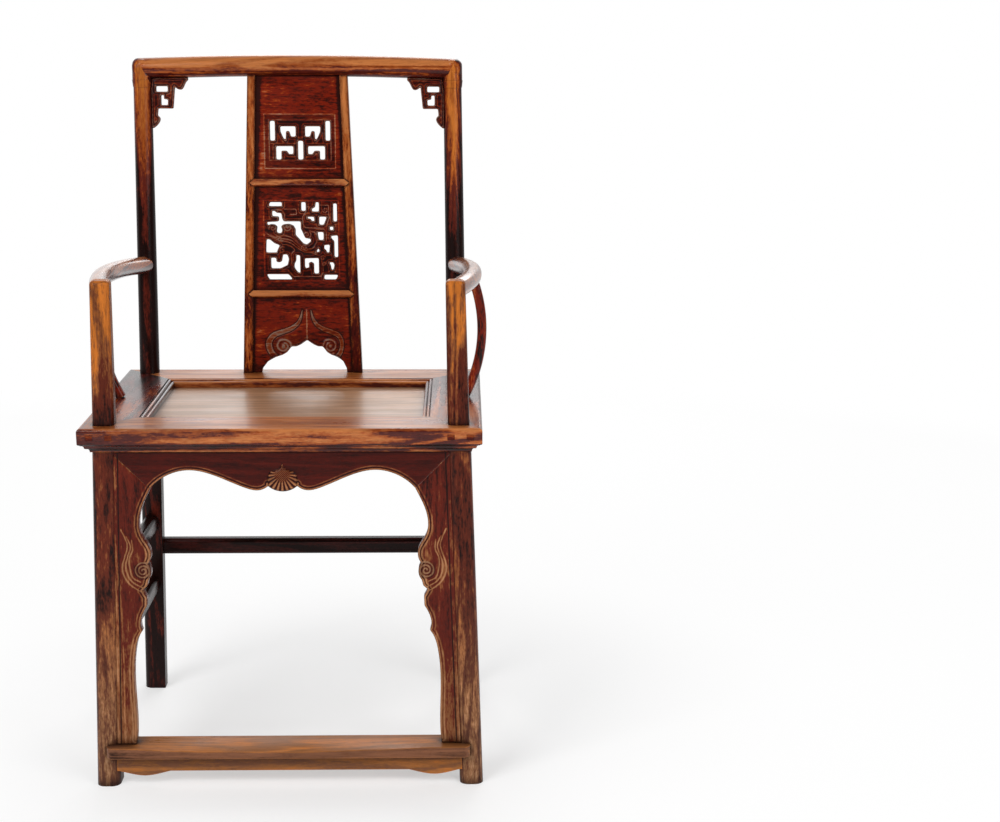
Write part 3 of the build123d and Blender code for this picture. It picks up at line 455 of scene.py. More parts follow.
def finish(name, squeeze, wear, colours=(TAN, ORANGE, MAROON, NEAR_BLACK), edge_wear_and_shade=0.4,
           edge_radius=0.003, patch_scale=7.0, patchiness=1.0, figure=0.6, band_scale=26.0,
           grain_wear=0.25, wear_and_light_by=None, crevice_shade=1.0, relief=0.0002, gloss=0.05, sheen=0.10,
           dusty_to=None, carved=False):
    """A material of worn lacquer over wood. wear_and_light_by names inputs of the
    wear_and_light_by_place group, whose facing part paints light and shade as well as wear.
    edge_wear_and_shade is how much edges wear, and below 0 it darkens them, which on the stiles
    is painted shade. crevice_shade is how much crevices are darkened, as painted shade and dirt.
    gloss is the weight of the clear coat and sheen the specular level under it. dusty_to is
    the height from which colours fade to dusty browns on the way down to the floor. Each
    finish reads its own stretch of the noises, so that no two pieces match."""
    material, tree = blank_material(name)
    number = len(bpy.data.materials)
    offset = tuple((OFFSET_STEP * number * k) % 3.0 for k in (1.0, 1.7, 2.3))
    grain = place(tree, "ShaderNodeGroup", node_tree=grain_tree)
    coat = place(tree, "ShaderNodeGroup", node_tree=lacquer_tree)
    for group in (grain, coat):
        group.inputs["Offset"].default_value = offset
    grain.inputs["Squeeze"].default_value = squeeze
    grain.inputs["Band Scale"].default_value = band_scale
    by_place = place(tree, "ShaderNodeGroup", node_tree=wear_and_light_tree)
    for label, value in (wear_and_light_by or {}).items():
        by_place.inputs[label].default_value = value
    edge = place(tree, "ShaderNodeGroup", node_tree=edge_tree)
    edge.inputs["Radius"].default_value = edge_radius
    hollow = place(tree, "ShaderNodeGroup", node_tree=crevice_tree)
    worn = total(tree, by_place.outputs["Bias"], wear,
                 times(tree, edge.outputs["Edge"], edge_wear_and_shade))
    shade_and_grime = times(tree, hollow.outputs["Crevice Shade"], crevice_shade)
    height = coat.outputs["Height"]
    if carved:
        worn, shade_and_grime, height = carving_read(tree, worn, shade_and_grime, height)
    for label, value in zip(STATES, colours):
        coat.inputs[label].default_value = (*value, 1)
    if dusty_to:
        dusted(tree, coat, colours, dusty_to)
    patch_squeeze = tuple(ALONG_PATCHES if part < 1 else 1.0 for part in squeeze)
    for label, value in (("Patch Scale", patch_scale), ("Patchiness", patchiness),
                         ("Figure", figure), ("Grain Wear", grain_wear),
                         ("Squeeze", patch_squeeze)):
        coat.inputs[label].default_value = value
    tree.links.new(worn, coat.inputs["Wear"])
    tree.links.new(shade_and_grime, coat.inputs["Shade and Grime"])
    for output in ("Bands", "Fibres", "Pores"):
        tree.links.new(grain.outputs[output], coat.inputs[output])
    bump = place(tree, "ShaderNodeBump", {"Strength": 0.5, "Distance": relief, "Height": height})
    colour = coat.outputs["Colour"]
    if carved:
        colour = blend_colour(tree, attribute(tree, "aged"), colour, AGED_TONE, "MULTIPLY")
    shader = place(tree, "ShaderNodeBsdfPrincipled",
                   {"Base Color": colour, "Roughness": coat.outputs["Roughness"],
                    "Normal": bump.outputs[0], "Specular IOR Level": sheen, "Coat Weight": gloss,
                    "Coat Roughness": COAT_ROUGHNESS})
    place(tree, "ShaderNodeOutputMaterial", {"Surface": shader.outputs[0]})
    return material


# %% Heights, and the colours of single pieces
SEAT_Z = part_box("seat_rail_front")[1][2]
CREST_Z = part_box("crest_rail")[1][2]
BOARD = ((0.42, 0.230, 0.125), (0.35, 0.160, 0.070), (0.20, 0.085, 0.045), (0.05, 0.018, 0.012))
FOOT_BOARD = ((0.44, 0.140, 0.024), (0.30, 0.115, 0.036), (0.19, 0.076, 0.038), NEAR_BLACK)
DARK = (TAN, ORANGE, (0.040, 0.0065, 0.0050), NEAR_BLACK)
PANEL = ((0.33, 0.165, 0.095), (0.30, 0.045, 0.005), RED, (0.024, 0.0040, 0.0026))
GREY_BEAD = ((0.36, 0.165, 0.075), (0.22, 0.075, 0.025), MAROON, NEAR_BLACK)
LEG = (GOLDEN, (0.20, 0.060, 0.019), (0.098, 0.016, 0.007), NEAR_BLACK)
BACK_POST = (GOLDEN, ORANGE, (0.095, 0.012, 0.006), NEAR_BLACK)
SPANDREL = (*GREY_BEAD[:2], (0.100, 0.011, 0.005), NEAR_BLACK)
STICK = (TAN, (0.27, 0.050, 0.010), RED, NEAR_BLACK)
print("seat at", round(SEAT_Z, 4), "crest at", round(CREST_Z, 4))

# %% [markdown]
# The crest rail and the tops of the posts are held most, so wood shows there, and the posts are
# near black lower down. The legs keep their lacquer under the seat, and shed it near the floor
# and where an elbow or a hand passes the arm post.

# %% Crest, posts, stiles and legs
# Top wears the crest's top and darkens its underside, which is painted shade under the rail.
crest_finish = finish("crest_finish", ACROSS, 0.50, edge_wear_and_shade=0.0, patchiness=0.6,
                      patch_scale=12.0,
                      wear_and_light_by={"Front": 0.15, "Top": 0.42, "Ends From": 0.19, "Ends To": 0.25,
                               "Ends Wear": -0.38}, gloss=0.3)
# Front lightens the posts' fronts and darkens their sides: wear, and painted light and shade.
post_finish = finish("post_finish", UPRIGHT, -0.36, BACK_POST, edge_wear_and_shade=0.1, patchiness=0.65,
                     wear_and_light_by={"Front": 0.82, "Low Place": SEAT_Z + 0.21,
                              "High Place": CREST_Z - 0.10, "Low Wear": -0.40,
                              "High Wear": 0.32})
# The negative edge wear paints shade along the stiles' edges, beside the panels.
stile_finish = finish("stile_finish", UPRIGHT, 0.34, edge_wear_and_shade=-0.70, edge_radius=0.0055,
                      patchiness=0.9, grain_wear=0.15,
                      wear_and_light_by={"Front": 0.15, "Low Place": SEAT_Z, "High Place": CREST_Z,
                               "Low Wear": -0.12, "High Wear": 0.26})
leg_finish = finish("leg_finish", UPRIGHT, 0.22, LEG, edge_wear_and_shade=0.42, edge_radius=0.004,
                    patchiness=0.75, patch_scale=16.0, grain_wear=0.28, figure=0.9,
                    dusty_to=0.36,
                    wear_and_light_by={"Front": 0.06, "Top": 0.3, "Low Place": SEAT_Z + 0.015,
                             "High Place": SEAT_Z + 0.15, "High Wear": 0.40,
                             "Foot Height": 0.48, "Foot Wear": 0.13})
print("finishes:", len(bpy.data.materials))

# %% [markdown]
# The seat's frame is polished by use and worn along its front arris. Its panel and the footrest
# have lost their lacquer, the panel to a silky grey-brown and the footrest to plain tan.

# %% Seat and footrest
seat_finish = finish("seat_finish", ACROSS, 0.30, edge_wear_and_shade=0.0, patchiness=0.7,
                     patch_scale=12.0, grain_wear=0.40, figure=0.8, band_scale=24.0,
                     crevice_shade=0.40, gloss=0.3, sheen=0.2,
                     wear_and_light_by={"Front": 0.04, "Top": 0.36, "Low Place": SEAT_Z - 0.022,
                              "High Place": SEAT_Z, "Low Wear": 0.12, "High Wear": 0.26,
                              "Ends From": 0.15, "Ends To": 0.25, "Ends Wear": -0.12})
side_finish = finish("side_finish", BACKWARDS, 0.20, edge_wear_and_shade=0.0, patchiness=0.6,
                     wear_and_light_by={"Top": 0.16, "Direction": (0.0, -1.0, 0.0), "Low Place": -0.10,
                              "High Place": 0.14, "Low Wear": -0.24, "High Wear": 0.20},
                     gloss=0.4, sheen=0.2)
plug_finish = finish("plug_finish", ACROSS, 0.42, edge_wear_and_shade=-0.5, edge_radius=0.0015,
                     patchiness=0.35)
board_finish = finish("board_finish", ACROSS, 0.76, BOARD, edge_wear_and_shade=0.0, patchiness=0.35,
                      figure=0.6, grain_wear=0.12, band_scale=20.0, crevice_shade=0.7,
                      gloss=0.25, sheen=0.30)
foot_finish = finish("foot_finish", ACROSS, 0.62, FOOT_BOARD, edge_wear_and_shade=0.50,
                     edge_radius=0.0022, patchiness=0.32, figure=0.7, grain_wear=0.10,
                     wear_and_light_by={"Front": -0.36, "Ends From": 0.20, "Ends To": 0.26,
                              "Ends Wear": -0.14})
toe_finish = finish("toe_finish", ACROSS, 0.50, FOOT_BOARD, edge_wear_and_shade=0.25, patchiness=0.5,
                    crevice_shade=0.6)
print("finishes:", len(bpy.data.materials))

# %% [markdown]
# Stretchers and plain aprons lie out of reach and keep their dark coat. The carved pieces are
# redder. Arms and cross-rails are the glossiest, because sleeves polish them every day.

# %% Dark, carved and polished pieces
dark_finish = finish("dark_finish", ACROSS, 0.04, DARK, edge_wear_and_shade=0.30, patchiness=0.5)
dark_side_finish = finish("dark_side_finish", BACKWARDS, 0.04, DARK, edge_wear_and_shade=0.25,
                          patchiness=0.5)
panel_finish = finish("panel_finish", ACROSS, 0.24, PANEL, edge_wear_and_shade=0.0, patchiness=0.85,
                      figure=0.3, patch_scale=24.0, grain_wear=0.06, crevice_shade=1.4,
                      carved=True)
apron_finish = finish("apron_finish", ACROSS, 0.16, GREY_BEAD, edge_wear_and_shade=0.0, patchiness=0.25,
                      grain_wear=0.05, carved=True)
spandrel_finish = finish("spandrel_finish", UPRIGHT, 0.20, SPANDREL, edge_wear_and_shade=0.0,
                         patchiness=0.6, grain_wear=0.15, patch_scale=14.0,
                         wear_and_light_by={"Foot Height": 0.42, "Foot Wear": 0.42}, carved=True)
stick_finish = finish("stick_finish", UPRIGHT, 0.30, STICK, edge_wear_and_shade=0.3, gloss=0.2)
arm_finish = finish("arm_finish", BACKWARDS, 0.42, edge_wear_and_shade=0.1, patchiness=0.8,
                    wear_and_light_by={"Front": 0.1, "Top": 0.30}, gloss=0.9, sheen=0.5)
rail_finish = finish("rail_finish", ACROSS, 0.44, edge_wear_and_shade=0.0, patchiness=0.9,
                     wear_and_light_by={"Front": 0.20, "Top": 0.35}, gloss=0.3, sheen=0.3)
print("finishes:", len(bpy.data.materials))

# %% [markdown]
# The frame's pieces have an empty slot each. A table from the start of a piece's name to its
# finish fills them, and the first start that fits is taken, so the longer ones stand first.

# %% Give each piece from the frame its finish
wears = {
    "crest_rail": crest_finish,
    "front_leg_": leg_finish, "rear_leg_": post_finish,
    "arm_stick_": stick_finish, "arm_pegs": plug_finish, "arm_": arm_finish,
    "seat_panel": board_finish, "footrest_apron": toe_finish, "footrest": foot_finish,
    "seat_rail_front": seat_finish, "seat_rail_rear": seat_finish, "seat_rail_": side_finish,
    "seat_batten_": dark_side_finish, "seat_corner_plugs": plug_finish,
    "splat_rail_": rail_finish, "splat_stile_": stile_finish, "splat_panel_": panel_finish,
    "corner_bracket_": panel_finish,
    "front_apron": apron_finish, "front_spandrel_": spandrel_finish,
    "rear_apron": dark_finish, "side_apron_": dark_side_finish,
    "rear_stretcher": dark_finish, "side_stretcher_": dark_side_finish,
}


def finish_for(node):
    """The finish of a piece, by the start of its name."""
    return wears[next(start for start in wears if node.startswith(start))]


for name, piece in nodes.items():
    for slot in piece.material_slots:
        slot.material = finish_for(name)
print("dressed:", len(nodes))


# %% [markdown]
# ## Carved boards
#
# The splat's panels, the corner brackets and the arch under the seat are thin boards, sawn
# through and then carved on the face. A carver keeps the outline and lowers the ground, so the
# new surface can be one height over one flat grid. The outline is read from the piece in the
# frame, so that the carving always fits the solid that it stands for.

# %% Reading a piece from the frame
MM = 0.001


def triangles_of(name):
    """A piece's triangles, as an array of triangle, corner, coordinate. With them come their
    normals, each as long as twice its triangle's area, and those lengths."""
    mesh = nodes[name].data
    points = np.empty(len(mesh.vertices) * 3)
    mesh.vertices.foreach_get("co", points)
    corners = np.empty(len(mesh.loops), dtype=np.int32)
    mesh.loops.foreach_get("vertex_index", corners)
    triangles = points.reshape(-1, 3)[corners].reshape(-1, 3, 3)
    normals = np.cross(triangles[:, 1] - triangles[:, 0], triangles[:, 2] - triangles[:, 0])
    return triangles, normals, np.linalg.norm(normals, axis=1)


def board_axes(name, base_height):
    """The board's own axes: across is +X, out is the mean normal of its front, weighted by
    area, and up is out turned towards across. The origin is where the front's mean plane
    crosses base_height on the middle line. All lengths on the board are in millimetres."""
    triangles, normals, size = triangles_of(name)
    facing = (normals[:, 1] < -0.9 * size) & (np.abs(normals[:, 0]) < 0.001 * size)
    out = normals[facing].sum(axis=0)
    out /= np.linalg.norm(out)
    across = np.array([1.0, 0.0, 0.0])
    up = np.cross(out, across)
    level = (triangles[facing].mean(axis=1) @ out).min()
    rise = (base_height - level * out[2]) / up[2]
    return {"across": across, "up": up, "out": out, "origin": level * out + rise * up}


def flat_outline(name, axes, proud=None):
    """The outline of a board's face: of all edges of the triangles that face out, the ones that
    belong to one triangle only. proud keeps only what stands that far out from the face."""
    triangles, normals, size = triangles_of(name)
    kept = normals @ axes["out"] > 0.99 * np.maximum(size, 1e-12)
    relative = (triangles - axes["origin"]) / MM
    if proud is not None:
        kept &= (relative @ axes["out"]).mean(axis=1) > proud
    flat = np.stack([relative[kept] @ axes["across"], relative[kept] @ axes["up"]], axis=-1)
    spots, ids = np.unique(np.round(flat.reshape(-1, 2), 2), axis=0, return_inverse=True)
    ids = ids.reshape(-1, 3)
    edges = np.concatenate([ids[:, [0, 1]], ids[:, [1, 2]], ids[:, [2, 0]]])
    edges, uses = np.unique(np.sort(edges, axis=1), axis=0, return_counts=True)
    rim = edges[(uses == 1) & (edges[:, 0] != edges[:, 1])]
    return spots[rim[:, 0]], spots[rim[:, 1]]


# %% Distances on a board


def nearest_on(points, starts, ends, chunk=40):
    """The distance from each point to the nearest of many straight segments: the point is
    dropped square onto each segment and held between its ends."""
    best = np.full(len(points), np.inf)
    for first in range(0, len(starts), chunk):
        start, end = starts[first:first + chunk], ends[first:first + chunk]
        along = end - start
        share = (points @ along.T - (start * along).sum(axis=1))
        share = np.clip(share / np.maximum((along ** 2).sum(axis=1), 1e-12), 0, 1)
        gaps = np.hypot(points[:, :1] - start[:, 0] - share * along[:, 0],
                        points[:, 1:] - start[:, 1] - share * along[:, 1])
        best = np.minimum(best, gaps.min(axis=1))
    return best


def is_inside(points, starts, ends):
    """Even and odd: a ray to the right crosses the outline an odd number of times."""
    inside = np.zeros(len(points), dtype=bool)
    for start, end in zip(starts, ends):
        spans = (start[1] > points[:, 1]) != (end[1] > points[:, 1])
        slope = (end[0] - start[0]) / (end[1] - start[1] if end[1] != start[1] else 1.0)
        crossing = start[0] + (points[:, 1] - start[1]) * slope
        inside ^= spans & (points[:, 0] < crossing)
    return inside


def smooth_line(points, steps=12):
    """A curve through the points: on each span a cubic whose slopes are half the step between
    the neighbours on either side."""
    points = np.asarray(points, dtype=float)
    before = np.vstack([2 * points[0] - points[1], points[:-1]])
    after = np.vstack([points[1:], 2 * points[-1] - points[-2]])
    slopes = (after - before) / 2
    share = np.linspace(0, 1, steps, endpoint=False)[None, :, None]
    start, end = points[:-1, None], points[1:, None]
    curve = (start * (2 * share ** 3 - 3 * share ** 2 + 1) + end * (3 * share ** 2 - 2 * share ** 3)
             + slopes[:-1, None] * (share ** 3 - 2 * share ** 2 + share)
             + slopes[1:, None] * (share ** 3 - share ** 2))
    return np.vstack([curve.reshape(-1, 2), points[-1:]])


def spiral(centre, outer, inner, turns, start_angle, hand=1, steps=80):
    """A spiral: its radius shrinks evenly from outer to inner while it turns."""
    share = np.linspace(0, 1, steps)
    angle = math.radians(start_angle) + hand * 2 * math.pi * turns * share
    radius = outer + (inner - outer) * share
    return np.stack([centre[0] + radius * np.cos(angle),
                     centre[1] + radius * np.sin(angle)], axis=1)


def both_sides(lines):
    """Each line and its mirror image across the middle."""
    return [line * side for line in lines for side in (np.array([1, 1]), np.array([-1, 1]))]


def distance_to_lines(points, lines):
    """Distance from each point to the nearest of several drawn lines."""
    starts = np.vstack([line[:-1] for line in lines])
    ends = np.vstack([line[1:] for line in lines])
    return nearest_on(points, starts, ends)


# %% [markdown]
# A solid could be cut with a Boolean for each groove, or sculpted. A grid of heights is shorter
# and stays even, because every bead, groove and swell is a number added at each point. Where
# the outline runs between grid points, the points next to it slide onto it.

# %% A mesh that rides on the chair
SHARP_ANGLE = math.radians(50)


def new_piece(name, points, faces, stands_for):
    """A mesh object at the origin, shaded smooth with sharp arrises, which rides on the chair."""
    mesh = bpy.data.meshes.new(name)
    mesh.from_pydata(np.asarray(points).tolist(), [],
                     faces.tolist() if isinstance(faces, np.ndarray) else faces)
    mesh.polygons.foreach_set("use_smooth", np.ones(len(mesh.polygons), dtype=bool))
    mesh.set_sharp_from_angle(angle=SHARP_ANGLE)
    made = new_object(name, mesh)
    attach(made, "root")
    if stands_for:
        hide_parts(*stands_for)
    return made


# %% Rounded steps, and a blur


def bump_up(distance, width):
    """A rounded line, as a bell: 1 on it, and nearly 0 from two widths away."""
    return np.exp(-(distance / width) ** 2)


def rise_from(distance, width):
    """A quarter round: 0 at an edge, 1 from this width inwards."""
    short = 1 - np.clip(distance / width, 0, 1)
    return np.sqrt(np.clip(1 - short ** 2, 0, 1))


def blurred(field, spread):
    """A field on a grid, averaged both ways with a bell whose spread is given in cells."""
    reach = int(math.ceil(3 * spread))
    bell = np.exp(-0.5 * (np.arange(-reach, reach + 1) / max(spread, 1e-6)) ** 2)
    bell /= bell.sum()
    for axis in (0, 1):
        padding = [(reach, reach) if k == axis else (0, 0) for k in (0, 1)]
        padded = np.pad(field, padding, mode="edge")
        field = sum(weight * np.take(padded, np.arange(field.shape[axis]) + k, axis=axis)
                    for k, weight in enumerate(bell))
    return field


# %% From a grid to a board
DRIFT_REACH = 72.0
ARRIS_WIDTH = 1.2
BACK_ARRIS = 0.8
SLIDE_LIMIT = 1.5
FAR_FROM_CUTS = 20.0


def sawn_face(starts, ends, step, soften):
    """The flat face of a board inside its outline: points, distance to the rim, and squares.
    The grid holds the signed distance to the outline, more than 0 inside, blurred a little so
    that sawn corners turn round. Cells outside are dropped, and the loose corners of the rest
    slide down the distance's slope onto the outline."""
    low = np.minimum(starts.min(axis=0), ends.min(axis=0)) - 3 * step
    high = np.maximum(starts.max(axis=0), ends.max(axis=0)) + 3 * step
    columns = np.arange(low[0], high[0] + step, step)
    rows = np.arange(low[1], high[1] + step, step)
    x, y = np.meshgrid(columns, rows, indexing="ij")
    points = np.stack([x.ravel(), y.ravel()], axis=1)
    distance = nearest_on(points, starts, ends)
    signed = np.where(is_inside(points, starts, ends), distance, -distance).reshape(x.shape)
    signed = blurred(signed, soften / step)
    slope = np.stack(np.gradient(signed, step), axis=-1).reshape(-1, 2)
    steep = np.maximum((slope ** 2).sum(axis=1), 0.2)
    cells = joined_cells(signed > -0.5 * step)
    index = np.arange(x.size).reshape(x.shape)
    quads = np.stack([index[:-1, :-1][cells], index[1:, :-1][cells], index[1:, 1:][cells],
                      index[:-1, 1:][cells]], axis=1)
    used, quads = np.unique(quads, return_inverse=True)
    quads = quads.reshape(-1, 4)
    loose = np.bincount(quads.ravel(), minlength=len(used)) < 4
    rim = np.maximum(signed.ravel()[used], 0.0)
    slide = signed.ravel()[used] / steep[used]
    slide = np.clip(slide, -SLIDE_LIMIT * step, SLIDE_LIMIT * step)[:, None] * slope[used]
    rim[loose] = 0.0
    return points[used] - np.where(loose[:, None], slide, 0.0), rim, quads


def joined_cells(kept):
    """The cells whose four corners are kept. Where two of them meet only at a corner, a third
    one is added beside it, so that no edge of the board belongs to four faces."""
    cells = kept[:-1, :-1] & kept[1:, :-1] & kept[1:, 1:] & kept[:-1, 1:]
    tall = cells.shape[1]
    for corner in (0, 1):
        upper, lower = cells[:-1, corner:tall - 1 + corner], cells[1:, 1 - corner:tall - corner]
        beside, other = cells[1:, corner:tall - 1 + corner], cells[:-1, 1 - corner:tall - corner]
        beside |= upper & lower & ~beside & ~other
    return cells


def rim_walls(quads, count):
    """Squares from each edge that only one face has to the same edge on the back, whose points
    have numbers that are higher by count."""
    sides = np.concatenate([quads[:, [k, (k + 1) % 4]] for k in range(4)])
    ordered = np.sort(sides, axis=1)
    _, first, counts = np.unique(ordered, axis=0, return_index=True, return_counts=True)
    near, far = sides[first[counts == 1]].T
    return np.stack([far, near, near + count, far + count], axis=1)


def carved_board(name, node, base_height, step, thickness, carve, soften=0.5, drift=0.0):
    """A carved board. carve(points, rim) gives each point's height above the face in
    millimetres, and the marks that the finish reads. The back is the same grid, flat, with its
    arris eased, and walls close the rim. drift moves the middle of the carving to the right, as
    a hand does, and leaves the edges."""
    axes = board_axes(node, base_height)
    starts, ends = flat_outline(node, axes)
    flat, rim, quads = sawn_face(starts, ends, step, soften)
    heights, marks = carve(flat, rim)
    flat[:, 0] += drift * (1 - np.clip(np.abs(flat[:, 0]) / DRIFT_REACH, 0, 1) ** 4)
    back = -thickness - BACK_ARRIS * (rise_from(rim, ARRIS_WIDTH) - 1)
    face = axes["origin"] + MM * (flat[:, :1] * axes["across"] + flat[:, 1:] * axes["up"])
    front = face + MM * heights[:, None] * axes["out"]
    rear = face + MM * back[:, None] * axes["out"]
    count = len(flat)
    walls = rim_walls(quads, count)
    faces = np.concatenate([quads, quads[:, ::-1] + count, walls])
    made = new_piece(name, np.vstack([front, rear]), faces, [node])
    for label, values in marks.items():
        layer = made.data.attributes.new(label, "FLOAT", "POINT")
        behind = np.full(count, FAR_FROM_CUTS if label == "line" else 0.0)
        layer.data.foreach_set("value", np.concatenate([values, behind]))
    made.data.materials.append(finish_for(node))
    print(name, "faces:", len(faces), "rim:", len(walls))
    return made


# %% [markdown]
# ## The splat
#
# The top panel is a key fret, the middle one a scrolling dragon, and the bottom one a cloud
# scroll over a small arch. Each has its straps edged with a bead and a cut line, which follow
# every opening at the same distance, so the distance to the rim is all that they need. Lines
# that go their own way, such as a spiral, are drawn as curves and cut the same way. The lengths
# are millimetres on the board, with 0 on its middle line and at the seat's top.

# %% Beads, cut lines and bands
PANEL_THICKNESS = 9.0
CUT = 0.6
CUT_DEPTH = 0.5
GROUND_SINKS = 0.9
FINE_BEAD = (0.9, 0.8)
BROAD_BEAD = (1.4, 1.1)
SECOND_BEAD = (3.9, 0.6)
BEAD_SWELL = (1.2, 0.7, 0.35)
FADED_GROUND = 0.4


def strap_relief(points, rim, field, bands=(), ridges=(), bead=FINE_BEAD, faded=1.0, edge=None):
    """Height and marks of a carved face. Along each opening inside the field run two beads with
    a cut line between them, and the ground of the field is darker and faded. A band is a flat
    raised strip about a curve, given as curves, half-width and height, and a ridge is a
    rounded one. bead gives the first bead's distance from the edge and its half-width. edge is
    the distance that the beads follow, if it isn't the distance to the rim."""
    near_opening = np.where(field, rim if edge is None else edge, FAR_FROM_CUTS)
    bead_at, bead_width = bead
    second_at, second_share = SECOND_BEAD
    swell_at, swell_width, swell_height = BEAD_SWELL
    line = np.abs(near_opening - bead_at - 2 * bead_width)
    ridge = (bump_up(near_opening - bead_at, bead_width)
             + second_share * bump_up(near_opening - bead_at - second_at * bead_width, bead_width))
    height = (GROUND_SINKS * (rise_from(rim, ARRIS_WIDTH) - 1)
              + swell_height * bump_up(near_opening - swell_at, swell_width))
    for curves, half_width, rise in bands:
        away = distance_to_lines(points, curves)
        on_band = np.clip((half_width - away) / 0.8 + 0.5, 0, 1)
        height += rise * on_band
        ridge = np.maximum(ridge, 0.55 * on_band + 0.45 * bump_up(away - half_width + 0.5, 0.6))
        line = np.minimum(line, np.abs(away - half_width - 0.9))
    for curves, width, rise in ridges:
        away = distance_to_lines(points, curves)
        swell = bump_up(away, width)
        height += rise * swell
        ridge = np.maximum(ridge, swell)
        line = np.where(away < 2.0 * width, np.maximum(line, 1.5 * width - away), line)
    height -= CUT_DEPTH * bump_up(line, CUT)
    ridge = np.clip(ridge, 0, 1)
    ridge -= np.where(field, FADED_GROUND * faded, 0.0) * (1 - ridge)
    aged = np.where(field, faded, 0.0)
    for curves, half_width, _ in bands:
        aged = np.maximum(aged, distance_to_lines(points, curves) < half_width + 1)
    return height, {"line": line, "ridge": ridge, "aged": aged}


# %% Fields, borders, rubbed edges and painted corner shade
STILES_AT = (59.7, 0.0425)
STILES_TOP = 440.0
RUBBED_STREAK = (8.0, 5.0, 0.3)
CORNER_SHADE_AND_DIRT = 3.2


def in_box(points, box):
    """Whether each point lies in a rectangle given by its half-width, its foot and its top."""
    half, low, high = box
    return (np.abs(points[:, 0]) < half) & (points[:, 1] > low) & (points[:, 1] < high)


def frame_lines(*boxes):
    """Closed rectangles, each given by its half-width, its foot and its top."""
    return [np.array([(-w, low), (w, low), (w, high), (-w, high), (-w, low)], dtype=float)
            for w, low, high in boxes]


def rubbed_border_and_corner_shade(points):
    """Beside the stiles the corner is darkened, as dirt and as painted shade, and next to it the
    cloth has rubbed the lacquer through to orange: a soft streak that follows the stile and comes
    and goes."""
    edge = STILES_AT[0] + STILES_AT[1] * (STILES_TOP - points[:, 1]) - np.abs(points[:, 0])
    waver = 0.5 + 0.5 * np.sin(0.07 * points[:, 1] + 2 * np.sign(points[:, 0]))
    streak_at, streak_width, strength = RUBBED_STREAK
    return (strength * waver * bump_up(edge - streak_at, streak_width)
            - bump_up(np.maximum(edge, 0), CORNER_SHADE_AND_DIRT))


# %% Key fret
TOP_FIELD = (46.6, 323.0, 383.0)
TOP_BORDER = (53.0, 311.0, 391.0)
BORDER_SHOWS = 0.55


def carve_top(points, rim):
    """The key fret, in a narrow flat border between two beads."""
    field = in_box(points, TOP_FIELD)
    border = frame_lines(TOP_BORDER, TOP_FIELD)
    height, marks = strap_relief(points, rim, field, ridges=[(border, 0.9, 0.5)])
    on_border = in_box(points, TOP_BORDER) & ~field
    marks["ridge"] = np.where(on_border, BORDER_SHOWS * marks["ridge"] - 0.05, marks["ridge"])
    marks["aged"] = np.where(on_border, 1.0, marks["aged"])
    ground = ~field & ~on_border
    marks["ridge"] += np.where(ground, rubbed_border_and_corner_shade(points), 0.0)
    return height, marks


# %% [markdown]
# The dragon is nearly all line: its openings give the outline, and curls, a body of long
# flowing lines and angular straps run between them. A curl is a spiral given by its centre, its
# outer and inner radius, its turns and where it starts.

# %% Scrolling dragon
MIDDLE_FIELD = (55.0, 142.0, 262.0)
MIDDLE_INSIDE = (51.5, 146.0, 258.0)
MIDDLE_BORDER = np.array([(-50, 141), (50, 141), (57, 147), (57, 263), (-57, 263), (-57, 147),
                          (-50, 141)], dtype=float)
STREAK_ABOVE = (272.0, 3.0)
BACK_SWELL = (8.0, 0.9)
DRAGON_CURLS = [
    spiral((-44, 221.5), 5.8, 1.0, 1.4, 200, -1), spiral((-21.5, 223), 8.4, 1.0, 1.7, 20),
    spiral((7, 211), 6.6, 1.0, 1.5, 40, -1), spiral((-30.5, 188), 5.2, 0.8, 1.2, 60),
    spiral((-33, 205), 4.6, 0.8, 1.1, 330, -1), spiral((3, 192), 4.2, 0.8, 1.2, 200, -1),
    spiral((31, 176), 4.0, 0.8, 1.2, 20), spiral((33, 168), 3.2, 0.6, 1.0, 200),
    spiral((36, 249), 4.6, 0.8, 1.2, 180), spiral((-38, 247), 4.2, 0.8, 1.1, 330, -1)]
DRAGON_BODY = [smooth_line(points) for points in (
    [(-54, 214), (-45, 208), (-35, 203), (-24, 201), (-16, 198), (-8, 192), (2, 186), (14, 184),
     (26, 180)],
    [(-39, 208), (-28, 210), (-18, 208), (-11, 203), (-3, 195), (6, 190), (16, 191), (21, 198),
     (23, 206), (20, 214), (12, 217)],
    [(-31, 196), (-23, 196), (-16, 193), (-12, 188), (-16, 183), (-17, 178), (-16, 166),
     (-11, 155)],
    [(-47, 211), (-37, 206), (-26, 205), (-17, 203), (-9, 197), (-1, 190), (9, 187), (21, 185)])]
DRAGON_STRAPS = [np.array(points, dtype=float) for points in (
    [(-27, 250), (-9.5, 250), (-8, 248), (-8, 242), (-18, 242)],
    [(11, 254), (7, 253), (7, 247), (1.5, 239), (1, 228), (5, 222), (19, 221.5), (32, 221),
     (37, 215), (37, 203)],
    [(27, 256), (41, 256), (41.5, 236.5), (38.5, 228)],
    [(-49, 179), (-49, 159), (-23, 158.5), (-14.5, 148), (27.5, 148), (31, 153), (31, 165),
     (27.5, 178), (19, 181.5)],
    [(-38, 249), (-30.5, 248), (-26, 241.5), (-27, 234), (-16, 232), (-3.5, 233)])]


